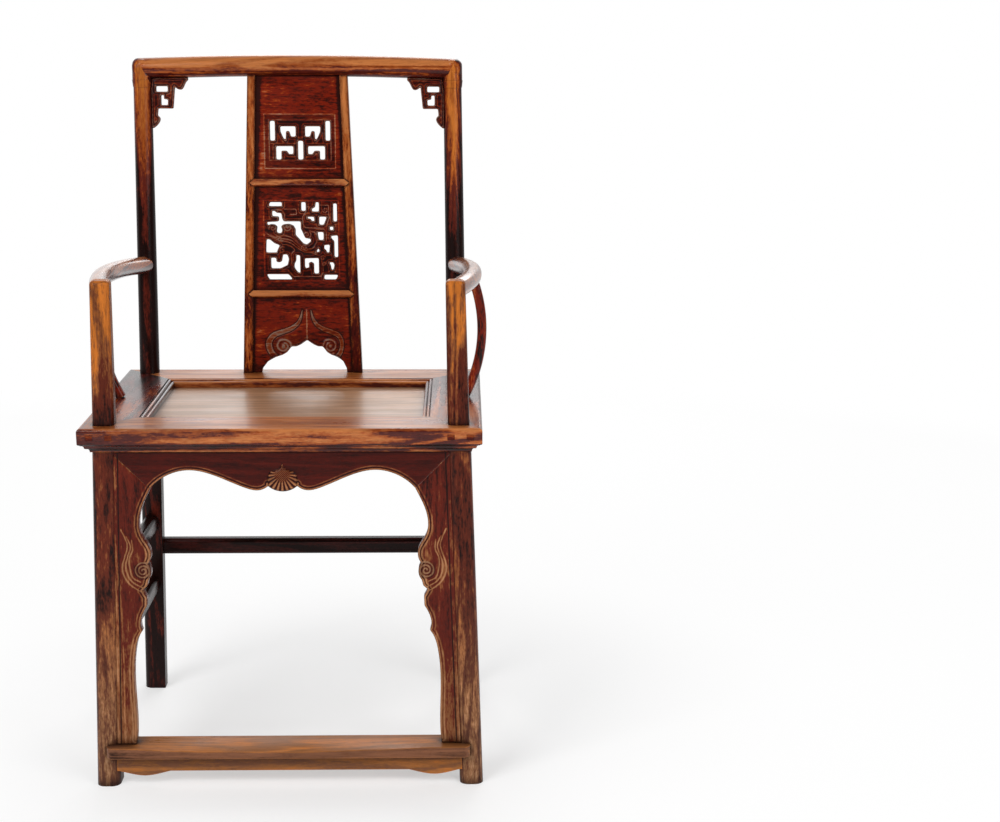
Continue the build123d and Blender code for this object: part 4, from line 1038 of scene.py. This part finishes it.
def carve_middle(points, rim):
    """The scrolling dragon: curls at its head, claws and tail, long flowing lines on its body,
    of which the last is its back and swells, and straps that carry a bead along their middle."""
    x, y = points[:, 0], points[:, 1]
    field = in_box(points, MIDDLE_FIELD)
    height, marks = strap_relief(points, rim, field, ridges=[
        ([MIDDLE_BORDER], 0.9, 0.5), (DRAGON_CURLS, 0.8, 0.7), (DRAGON_BODY, 0.8, 0.8),
        (DRAGON_STRAPS, 0.7, 0.4)])
    from_back = distance_to_lines(points, DRAGON_BODY[3:])
    height += np.where(field, BACK_SWELL[1] * bump_up(from_back, BACK_SWELL[0]), 0.0)
    marks["ridge"] = np.where(in_box(points, MIDDLE_INSIDE), marks["ridge"],
                              BORDER_SHOWS * marks["ridge"])
    above = ~field & (y > MIDDLE_FIELD[2])
    streak = 0.5 * bump_up(y - STREAK_ABOVE[0], STREAK_ABOVE[1]) * (x > 0)
    marks["ridge"] += np.where(above, streak, 0.0)
    marks["ridge"] += np.where(field, 0.0, rubbed_border_and_corner_shade(points) - 0.25)
    return height, marks


# %% Cloud scroll
CLOUD_BAND = smooth_line([(6.5, 96), (9.5, 84), (15, 75), (25, 68), (38, 63), (49, 58),
                          (55, 50), (56, 41), (53, 31), (47, 24)])
CLOUD_TIP = 96.0
CLOUD_EYE = (36.0, 41.0)
CLOUD_SCROLL = spiral(CLOUD_EYE, 13.0, 5.0, 1.5, -70, -1)
EYE_WIDTH = 3.0
BAND_WIDENS = (0.6, 3.2, 34.0)
ARCH_FIELD = (56.0, 58.0)


def carve_bottom(points, rim):
    """The cloud scroll: a flat band on each side, which falls from the middle, widens and curls
    into a spiral with a raised eye, and a sharp ridge down the middle."""
    thin, broad, over = BAND_WIDENS
    half_width = thin + broad * np.clip((CLOUD_TIP - points[:, 1]) / over, 0, 1)
    bands = [(both_sides([CLOUD_BAND]), half_width, 0.9)]
    ridges = [(both_sides([CLOUD_SCROLL]), 1.8, 1.2),
              ([np.array([(0.0, CLOUD_TIP), (0.0, 52.0)])], 1.1, 1.2)]
    field = (points[:, 1] < ARCH_FIELD[1]) & (np.abs(points[:, 0]) < ARCH_FIELD[0])
    height, marks = strap_relief(points, rim, field, bands, ridges)
    eye = np.hypot(np.abs(points[:, 0]) - CLOUD_EYE[0], points[:, 1] - CLOUD_EYE[1])
    height += 1.6 * bump_up(eye, EYE_WIDTH)
    marks["ridge"] = np.maximum(marks["ridge"], 1.3 * bump_up(eye, EYE_WIDTH))
    marks["ridge"] += np.where(field, 0.0, rubbed_border_and_corner_shade(points) - 0.10)
    return height, marks


# %% [markdown]
# A carver works by eye, and the fret, the dragon and the small arch stand a little to the right
# of the middle. Each board is given its own drift, in millimetres.

# %% Cut the three panels
PANEL_STEP = 0.85
PANEL_SOFTEN = 1.1
for name, carve, drift in (("top", carve_top, 2.5), ("middle", carve_middle, 2.5),
                           ("bottom", carve_bottom, 7.0)):
    carved_board(f"carved_panel_{name}", f"splat_panel_{name}", SEAT_Z, PANEL_STEP,
                 PANEL_THICKNESS, carve, soften=PANEL_SOFTEN, drift=drift)

# %% [markdown]
# ## Corner brackets and the arch under the seat
#
# The brackets are cut like the panels. The arch is three boards: an apron with a fan-ribbed
# shell at its middle, and two long spandrels that each carry a scroll. A bead runs along the
# whole arch, and a fine line follows it.

# %% Corner brackets
BRACKET_STEP = 0.8
BRACKET_SOFTEN = 0.9


def carve_bracket(points, rim):
    """Beads and cut lines along every edge."""
    return strap_relief(points, rim, np.ones(len(points), dtype=bool))


for side in ("left", "right"):
    carved_board(f"carved_bracket_{side}", f"corner_bracket_{side}", SEAT_Z, BRACKET_STEP,
                 PANEL_THICKNESS, carve_bracket, soften=BRACKET_SOFTEN)

# %% [markdown]
# The bead has to follow the arch and not the joints, so the outline's segments are sorted by
# where they lie: on the 45 degree mitre between apron and spandrel, along the leg, at the foot
# or the top, or free. Only the free ones carry the bead. Mitre and leg get a seam's marks.

# %% Sort the edges of the arch
APRON_THICKNESS = 16.0
ARCH_STEP = 0.9
MITRE_LINE = 253.0
MITRE_REACH = 2.5
LEG_LINE = (215.5, 300.0, 0.035)
ARCH_TOP = 476.0
ARCH_FOOT = 66.0
arch_axes = board_axes("front_apron", 0.0)
arch_starts, arch_ends = (np.vstack(sides) for sides in zip(*(
    flat_outline(node, arch_axes)
    for node in ("front_apron", "front_spandrel_left", "front_spandrel_right"))))
half_way = (arch_starts + arch_ends) / 2
from_middle, above_floor = np.abs(half_way[:, 0]), half_way[:, 1]
on_mitre = np.abs(above_floor - from_middle - MITRE_LINE) < MITRE_REACH
leg_edge = LEG_LINE[0] - LEG_LINE[2] * (above_floor - LEG_LINE[1])
at_foot = above_floor < ARCH_FOOT
at_leg = ~on_mitre & (from_middle > leg_edge) & ~at_foot
is_free = ~on_mitre & (from_middle <= leg_edge) & ~at_foot & (above_floor < ARCH_TOP)
print("arch edge, segments: free", is_free.sum(), "mitre", on_mitre.sum(), "leg", at_leg.sum())


def arch_edge(points):
    """The distance to the free edge of the arch."""
    return nearest_on(points, arch_starts[is_free], arch_ends[is_free])


def seam_marks(points, marks):
    """Where the boards meet: a pale scratch along the mitre, and along the leg a dark joint
    with a thin bead beside it."""
    mitre = nearest_on(points, arch_starts[on_mitre], arch_ends[on_mitre])
    leg = nearest_on(points, arch_starts[at_leg], arch_ends[at_leg])
    marks["ridge"] = np.maximum(marks["ridge"], np.maximum(0.45 * bump_up(mitre, 1.2),
                                                           0.30 * bump_up(leg - 2.6, 1.2)))
    marks["line"] = np.minimum(marks["line"], np.abs(leg - 6.5) - 0.3)
    return marks


# %% [markdown]
# The shell is a low dome. Its ribs are a cosine of the angle about a hub at its head, and near
# the hub, where ribs would be too thin to cut, two crossed sines make small scales.

# %% Apron and shell
SHELL_RISE = 3.5
SHELL_ROUND = 4.0
SHELL_RIBS = 11
HUB_BELOW_TIP = 14
SCALES_TO_MM = 2.2
SCALES_END = 9.0
shell_starts, shell_ends = flat_outline("front_apron", arch_axes, proud=1.0)
shell_hub = (0.0, shell_starts[:, 1].max() - HUB_BELOW_TIP)


def carve_apron(points, rim):
    """The apron: a bead along the arch, and the shell as a dome cut by ribs that fan out from
    its hub, with small scales near the hub."""
    depth = nearest_on(points, shell_starts, shell_ends)
    shell = is_inside(points, shell_starts, shell_ends)
    height, marks = strap_relief(points, rim, ~shell, bead=BROAD_BEAD, faded=0.0,
                                 edge=arch_edge(points))
    marks = seam_marks(points, marks)
    dome = SHELL_RISE * rise_from(depth, SHELL_ROUND)
    across, down = points[:, 0] - shell_hub[0], shell_hub[1] - points[:, 1]
    angle, reach = np.arctan2(across, down), np.hypot(across, down)
    ribs = 0.5 + 0.5 * np.cos(angle * SHELL_RIBS * 2)
    scales = 0.5 + 0.5 * (np.sin(points[:, 0] * SCALES_TO_MM)
                          * np.sin(points[:, 1] * SCALES_TO_MM))
    outer = np.clip((reach - SCALES_END) / 3, 0, 1)
    pattern = ribs * outer + scales * (1 - outer)
    height = np.where(shell, dome - 0.9 * (1 - pattern), height)
    marks["line"] = np.where(shell, 0.3 + 1.6 * pattern, np.minimum(marks["line"], depth))
    marks["ridge"] = np.where(shell, 1.1 * pattern - 0.1, marks["ridge"])
    return height, marks


carved_board("carved_apron", "front_apron", 0.0, ARCH_STEP, APRON_THICKNESS, carve_apron)

# %% [markdown]
# A spandrel's scroll is a spiral, and three tendrils rise beside it and sweep under it. They are
# drawn as a few points out and up from the spiral's centre, on the right. The left one reads the
# same lines, because the points are taken without their sign.

# %% Spandrels
SCROLL_CENTRE = (195.0, 316.5)
SCROLL_REACH = 13.0
GLOW_AT = 20.0
CUTS_FADE = (260.0, 60.0)


def from_scroll(*offsets):
    """Points given as steps out and up from the scroll's centre."""
    return smooth_line([(SCROLL_CENTRE[0] + out, SCROLL_CENTRE[1] + rise)
                        for out, rise in offsets])


SCROLL_LINES = [
    from_scroll((14, 44), (13, 30), (18, 18), (18, 4), (14, -10), (4, -16)),
    from_scroll((21, 49), (16, 35), (20, 21), (23, 10), (22, -4), (15, -16), (2, -24)),
    from_scroll((28, 59), (22.5, 46), (20, 35), (25, 18), (28, 8), (27, -5), (20, -18), (7, -28),
                (-3, -32))]
SCROLL_SPIRAL = spiral(SCROLL_CENTRE, 12.0, 1.5, 2.3, 120, -1)


def carve_spandrel(points, rim):
    """The spandrel: the bead along its free edge, a spiral on its scroll, and the tendrils that
    rise beside it."""
    everywhere = np.ones(len(points), dtype=bool)
    height, marks = strap_relief(np.abs(points), rim, everywhere, bead=BROAD_BEAD, faded=0.0,
                                 edge=arch_edge(points),
                                 ridges=[([SCROLL_SPIRAL], 1.2, 0.9), (SCROLL_LINES, 0.9, 0.5)])
    away = np.hypot(np.abs(points[:, 0]) - SCROLL_CENTRE[0], points[:, 1] - SCROLL_CENTRE[1])
    on_scroll = away < SCROLL_REACH
    marks["ridge"] -= 0.25 * on_scroll * (1 - marks["ridge"])
    marks["ridge"] += 0.25 * bump_up(np.abs(away - GLOW_AT), 16)
    marks["line"] += 3 * np.clip((CUTS_FADE[0] - points[:, 1]) / CUTS_FADE[1], 0, 1)
    marks["aged"] = np.where(on_scroll, 0.8, marks["aged"])
    return height, seam_marks(points, marks)


for side in ("left", "right"):
    carved_board(f"carved_spandrel_{side}", f"front_spandrel_{side}", 0.0, ARCH_STEP,
                 APRON_THICKNESS, carve_spandrel)

# %% [markdown]
# ## Arms and sticks
#
# An arm is one stick, steamed to a bow and let into both posts, and a thinner one stands under
# it. Years of sleeves have flattened the arm's top a little. Each is a profile carried along an
# arc: the profile is a rounded square whose corners a power sets, and the arc goes through
# three points.

# %% An arc, and the faces of a tube


def arc_through(start, middle, end, steps):
    """A circle's arc through three points: the centre is worked out in the plane of the three
    from the lengths and the angle of the two chords."""
    start, middle, end = (np.asarray(point, dtype=float) for point in (start, middle, end))
    first, second = middle - start, end - start
    axis = np.cross(first, second)
    centre = start + (np.cross(axis, first) * (second @ second)
                      + np.cross(second, axis) * (first @ first)) / (2 * axis @ axis)
    outward = start - centre
    radius = np.linalg.norm(outward)
    outward /= radius
    onward = np.cross(axis / np.linalg.norm(axis), outward)
    turn = math.atan2((end - centre) @ onward, (end - centre) @ outward)
    angle = np.linspace(0, turn, steps)[:, None]
    return centre + radius * (np.cos(angle) * outward + np.sin(angle) * onward)


def tube_faces(rings, around):
    """A square between each two neighbours on each two rings, and at each end a fan to one more
    point. The points are the rings in order, then the middle of the first end and of the last.
    All the faces look outwards."""
    index = np.arange(rings * around).reshape(rings, around)
    following = np.roll(index, -1, axis=1)
    squares = np.stack([index[:-1], index[1:], following[1:], following[:-1]], axis=-1)
    first_fan = np.stack([index[0], following[0], np.full(around, rings * around)], axis=1)
    last_fan = np.stack([following[-1], index[-1], np.full(around, rings * around + 1)], axis=1)
    return squares.reshape(-1, 4).tolist() + first_fan.tolist() + last_fan.tolist()


# %% Carrying a profile along a path
UPRIGHT_FROM = 0.7


def carried(name, path, widths, heights, power, stands_for, around=40, shape=None):
    """A profile carried along a path. The profile is the curve |x/a|^p + |y/b|^p = 1, with half
    its width a and half its height b given along the path. It stays upright. shape may push
    each point in or out, from the share of the way along and the angle. Both ends close on
    their middle point."""
    along = np.gradient(path, axis=0)
    along /= np.linalg.norm(along, axis=1)[:, None]
    is_lying = abs(along[:, 2]).mean() < UPRIGHT_FROM
    up = np.array([0.0, 0.0, 1.0]) if is_lying else np.array([0.0, 1.0, 0.0])
    side = np.cross(along, up)
    side /= np.linalg.norm(side, axis=1)[:, None]
    top = np.cross(side, along)
    angle = np.linspace(0, 2 * math.pi, around, endpoint=False)
    cos, sin = np.cos(angle), np.sin(angle)
    radius = (np.abs(cos) ** power + np.abs(sin) ** power) ** (-1 / power)
    share = np.linspace(0, 1, len(path))[:, None]
    push = shape(share, angle[None, :]) if shape else 1.0
    x = radius * cos * push * np.asarray(widths)[:, None] / 2
    y = radius * sin * push * np.asarray(heights)[:, None] / 2
    ring = path[:, None] + x[..., None] * side[:, None] + y[..., None] * top[:, None]
    points = np.vstack([ring.reshape(-1, 3), path[0], path[-1]])
    faces = tube_faces(len(path), around)
    made = new_piece(name, points, faces, stands_for)
    print(name, "faces:", len(faces))
    return made


# %% Arms and sticks
ARM_FRONT = np.array((0.2370, -0.1677, 0.7030))
ARM_MIDDLE = np.array((0.2611, 0.0080, 0.6980))
ARM_REAR = np.array((0.2353, 0.1838, 0.6850))
ARM_DIAMETER = 0.026
ARM_STEPS = 90
STICK_FOOT = np.array((0.2485, -0.00625, SEAT_Z))
STICK_MIDDLE = np.array((0.2740, -0.00625, 0.60675))
STICK_HEAD = np.array((0.2611, -0.00625, 0.6935))
STICK_WIDTH = 0.0135
STICK_TAPER = (0.0165, 0.011)
STICK_STEPS = 60
ARM_ROUNDNESS, STICK_ROUNDNESS = 2.15, 2.8


def sleeve_wear(share, angle):
    """The top is rubbed flat by up to a twentieth, most of all halfway along."""
    upper = np.clip(np.sin(angle), 0, 1) ** 4
    return 1 - upper * (0.02 + 0.05 * np.sin(math.pi * share))


def stick_softness(share, angle):
    """A hand-shaved stick: its faces waver by a hundredth."""
    return 1 + 0.012 * np.sin(9 * share + 2 * angle)


for side, flip in (("right", 1.0), ("left", -1.0)):
    mirrored = np.array((flip, 1.0, 1.0))
    path = arc_through(ARM_FRONT, ARM_MIDDLE, ARM_REAR, ARM_STEPS) * mirrored
    thick = np.full(ARM_STEPS, ARM_DIAMETER)
    arm = carried(f"bowed_arm_{side}", path, thick, thick, ARM_ROUNDNESS, [f"arm_{side}"],
                  48, sleeve_wear)
    arm.data.materials.append(arm_finish)
    path = arc_through(STICK_FOOT, STICK_MIDDLE, STICK_HEAD, STICK_STEPS) * mirrored
    taper = np.linspace(*STICK_TAPER, STICK_STEPS)
    stick = carried(f"bowed_stick_{side}", path, np.full(STICK_STEPS, STICK_WIDTH), taper,
                    STICK_ROUNDNESS, [f"arm_stick_{side}"], 32, stick_softness)
    stick.data.materials.append(stick_finish)

# %% [markdown]
# ## Footrest
#
# Feet have worn the top of the board down towards its front, most of all in the middle. The
# board is one closed profile carried straight across: a top that sinks in a long hollow to the
# front arris, a low front face, and below it a cove that runs back to the apron, so that the
# board looks thin.

# %% Footrest
BOARD_LOW, BOARD_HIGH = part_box("footrest")
APRON_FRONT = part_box("footrest_apron")[0][1]
HOLLOW = 0.0058
HOLLOW_MIDDLE = -0.02
HOLLOW_HALF = 0.21
COVE_RISE = 0.0060
ARRIS = 0.0012
PLAN_ROUND = 0.009


def worn_board(name, steps=180, across=28, round_steps=5, soft=0.0015):
    """The profile runs round the board. Its top sinks towards the front by the wear times the
    square of the share of the way from the back, and the wear falls off along the board as one
    less the square of the distance from its middle. Small quarter rounds make the arrises, a
    straight cove runs from the front's foot back and down to the apron, and in plan the front
    corners are rounded too."""
    half = BOARD_HIGH[0]
    x = half * np.sin(np.linspace(-math.pi / 2, math.pi / 2, steps))[:, None]
    share = np.clip(np.abs(x - HOLLOW_MIDDLE) / HOLLOW_HALF, 0, 1)
    waver = 1 + 0.10 * np.sin(41 * x + 1) + 0.05 * np.sin(97 * x)
    wear = HOLLOW * (1 - share ** 2) * waver
    into_corner = np.clip((np.abs(x) - half + PLAN_ROUND) / PLAN_ROUND, 0, 1)
    front = BOARD_LOW[1] + PLAN_ROUND * (1 - np.sqrt(1 - into_corner ** 2))
    rear = BOARD_HIGH[1]
    low, high = BOARD_LOW[2], BOARD_HIGH[2]
    ones = np.ones_like(x)
    quarter = np.linspace(0, math.pi / 2, round_steps)[None, :]
    foot_y = front + ARRIS * (1 - np.sin(quarter[:, ::-1]))
    nose_y = front + ARRIS * (1 - np.cos(quarter))
    nose_z = high - wear - ARRIS * (1 - np.sin(quarter))
    foot_z = low + COVE_RISE + ARRIS * (1 - np.cos(quarter[:, ::-1])) * ones
    back = np.linspace(0, 1, across)[None, 1:-1]
    top_y = front + ARRIS + (rear - soft - front - ARRIS) * back
    top_z = high - wear * (1 - back) ** 2
    back_y = ones * (rear - soft + soft * np.sin(quarter))
    back_z = ones * (high - soft + soft * np.cos(quarter))
    heel_y = ones * np.array([[rear, rear - soft, APRON_FRONT]])
    heel_z = ones * np.array([[low + soft, low, low]])
    y = np.hstack([nose_y, top_y, back_y, heel_y, foot_y[:, ::-1]])
    z = np.hstack([nose_z, top_z, back_z, heel_z, foot_z[:, ::-1]])
    ring = np.stack([x * np.ones_like(y), y, z], axis=-1)
    points = np.vstack([ring.reshape(-1, 3), ring[0].mean(axis=0), ring[-1].mean(axis=0)])
    return new_piece(name, points, tube_faces(steps, ring.shape[1]), ["footrest"])


worn_board("worn_footrest").data.materials.append(foot_finish)
print("footrest:", [round(b - a, 4) for a, b in zip(BOARD_LOW, BOARD_HIGH)],
      "apron front:", round(APRON_FRONT, 4))

# %% [markdown]
# ## Floor and light
#
# A plain pale floor, a large soft lamp high on the left in front, a weaker one on the right,
# and one behind that runs along the tops of the arms and the seat, as a window would. To the eye
# the sky and the floor away from the chair are pure white, and they light the chair at a plain,
# weaker level. In a reflection the floor is dimmer, so that it doesn't veil the dark lacquer, and
# the sky fades from the white backdrop to the dim room behind the eye, and towards the right.
# Under the chair more of the floor is a matt paint, darker than the white and keeping the lamps'
# shadow: a painted shade, centred a little right of and behind the middle. Further out it turns
# white.

# %% Floor
FLOOR_HALF = 8.0
FLOOR_MIRRORED = 0.35
TO_SHADE = (-0.08, -0.03, 0.0)
SHADE_UNDER_CHAIR = (0.20, 0.80, 0.35, 0.90)
FAR_FLOOR = (0.90, 2.60, 0.00, 1.00)
floor_mesh = bpy.data.meshes.new("floor")
floor_mesh.from_pydata([(-FLOOR_HALF, -FLOOR_HALF, 0), (FLOOR_HALF, -FLOOR_HALF, 0),
                        (FLOOR_HALF, FLOOR_HALF, 0), (-FLOOR_HALF, FLOOR_HALF, 0)], [],
                       [(0, 1, 2, 3)])
floor = new_object("floor", floor_mesh)


def seen(tree):
    """1 where a surface is looked at, straight or through glass, and less in a reflection, so
    that the floor doesn't veil the dark lacquer."""
    light_path = place(tree, "ShaderNodeLightPath").outputs
    mirrored = times(tree, light_path["Is Glossy Ray"], FLOOR_MIRRORED)
    looked_at = maths(tree, "MAXIMUM", light_path["Is Camera Ray"], mirrored)
    return maths(tree, "MAXIMUM", looked_at, light_path["Is Transmission Ray"])


floor_paint, tree = blank_material("floor_paint")
matt = place(tree, "ShaderNodeBsdfDiffuse", {"Color": (0.88, 0.88, 0.88, 1)})
glow = place(tree, "ShaderNodeEmission", {"Color": (1, 1, 1, 1), "Strength": 1.0})
spot = place(tree, "ShaderNodeTexCoord").outputs["Object"]
spot = place(tree, "ShaderNodeVectorMath", {0: spot, 1: TO_SHADE}, operation="ADD").outputs[0]
from_shade = place(tree, "ShaderNodeVectorMath", {0: spot}, operation="LENGTH").outputs["Value"]
# Round a point a little right of and behind the middle, less of the floor is white: a painted shade
# under the chair, over the lamps' own shadow.
white_share = maths(tree, "MAXIMUM", ramp(tree, from_shade, *SHADE_UNDER_CHAIR),
                    ramp(tree, from_shade, *FAR_FLOOR))
floor_surface = place(tree, "ShaderNodeMixShader",
                      {0: times(tree, seen(tree), white_share), 1: matt.outputs[0],
                       2: glow.outputs[0]})
place(tree, "ShaderNodeOutputMaterial", {"Surface": floor_surface.outputs[0]})
floor_mesh.materials.append(floor_paint)
print("floor:", 2 * FLOOR_HALF, "m square")

# %% [markdown]
# The room behind the eye is dim and the backdrop behind the chair is white, so that fronts
# keep their colour and tops seen at a flat angle catch the white.

# %% Sky
SKY_LIGHT = 0.50
ROOM_LIGHT = 0.10
TO_BACKDROP = (-0.25, 0.55, ROOM_LIGHT, 1.0)
TO_THE_RIGHT = (-0.20, 0.06, 1.0, 0.62)
world = bpy.data.worlds.new("studio")
world.use_nodes = True
tree = world.node_tree
sky = tree.nodes["Background"]
sky.inputs["Color"].default_value = (1, 1, 1, 1)
direction = place(tree, "ShaderNodeTexCoord").outputs["Generated"]
towards = place(tree, "ShaderNodeSeparateXYZ", {0: direction}).outputs
light_path = place(tree, "ShaderNodeLightPath").outputs
mirrored_sky = times(tree, ramp(tree, towards["Y"], *TO_BACKDROP),
                     ramp(tree, towards["X"], *TO_THE_RIGHT))
level = place(tree, "ShaderNodeMix", {0: light_path["Is Glossy Ray"], 2: SKY_LIGHT,
                                      3: mirrored_sky}, data_type="FLOAT").outputs[0]
looked_at = maths(tree, "MAXIMUM", light_path["Is Camera Ray"], light_path["Is Transmission Ray"])
level = place(tree, "ShaderNodeMix", {0: looked_at, 2: level, 3: 1.0},
              data_type="FLOAT").outputs[0]
tree.links.new(level, sky.inputs["Strength"])
bpy.context.scene.world = world
bpy.context.scene.view_settings.view_transform = "Standard"
print("sky:", SKY_LIGHT, "as light,", ROOM_LIGHT, "to 1 in a reflection")

# %% Lamps


def lamp(name, place_at, aim_at, size, power):
    """A square soft lamp that faces a point."""
    data = bpy.data.lights.new(name, "AREA")
    data.shape = "SQUARE"
    data.size = size
    data.energy = power
    made = new_object(name, data)
    made.location = place_at
    made.rotation_mode = "QUATERNION"
    made.rotation_quaternion = (Vector(aim_at) - Vector(place_at)).to_track_quat("-Z", "Y")
    return made


CHAIR_MIDDLE = (0.0, 0.0, 0.5)
lamp("key_lamp", (-1.6, -2.2, 2.4), CHAIR_MIDDLE, 1.6, 55)
lamp("fill_lamp", (1.9, -1.9, 1.6), CHAIR_MIDDLE, 1.6, 30)
lamp("window_lamp", (0.3, 2.4, 2.2), CHAIR_MIDDLE, 2.0, 40)
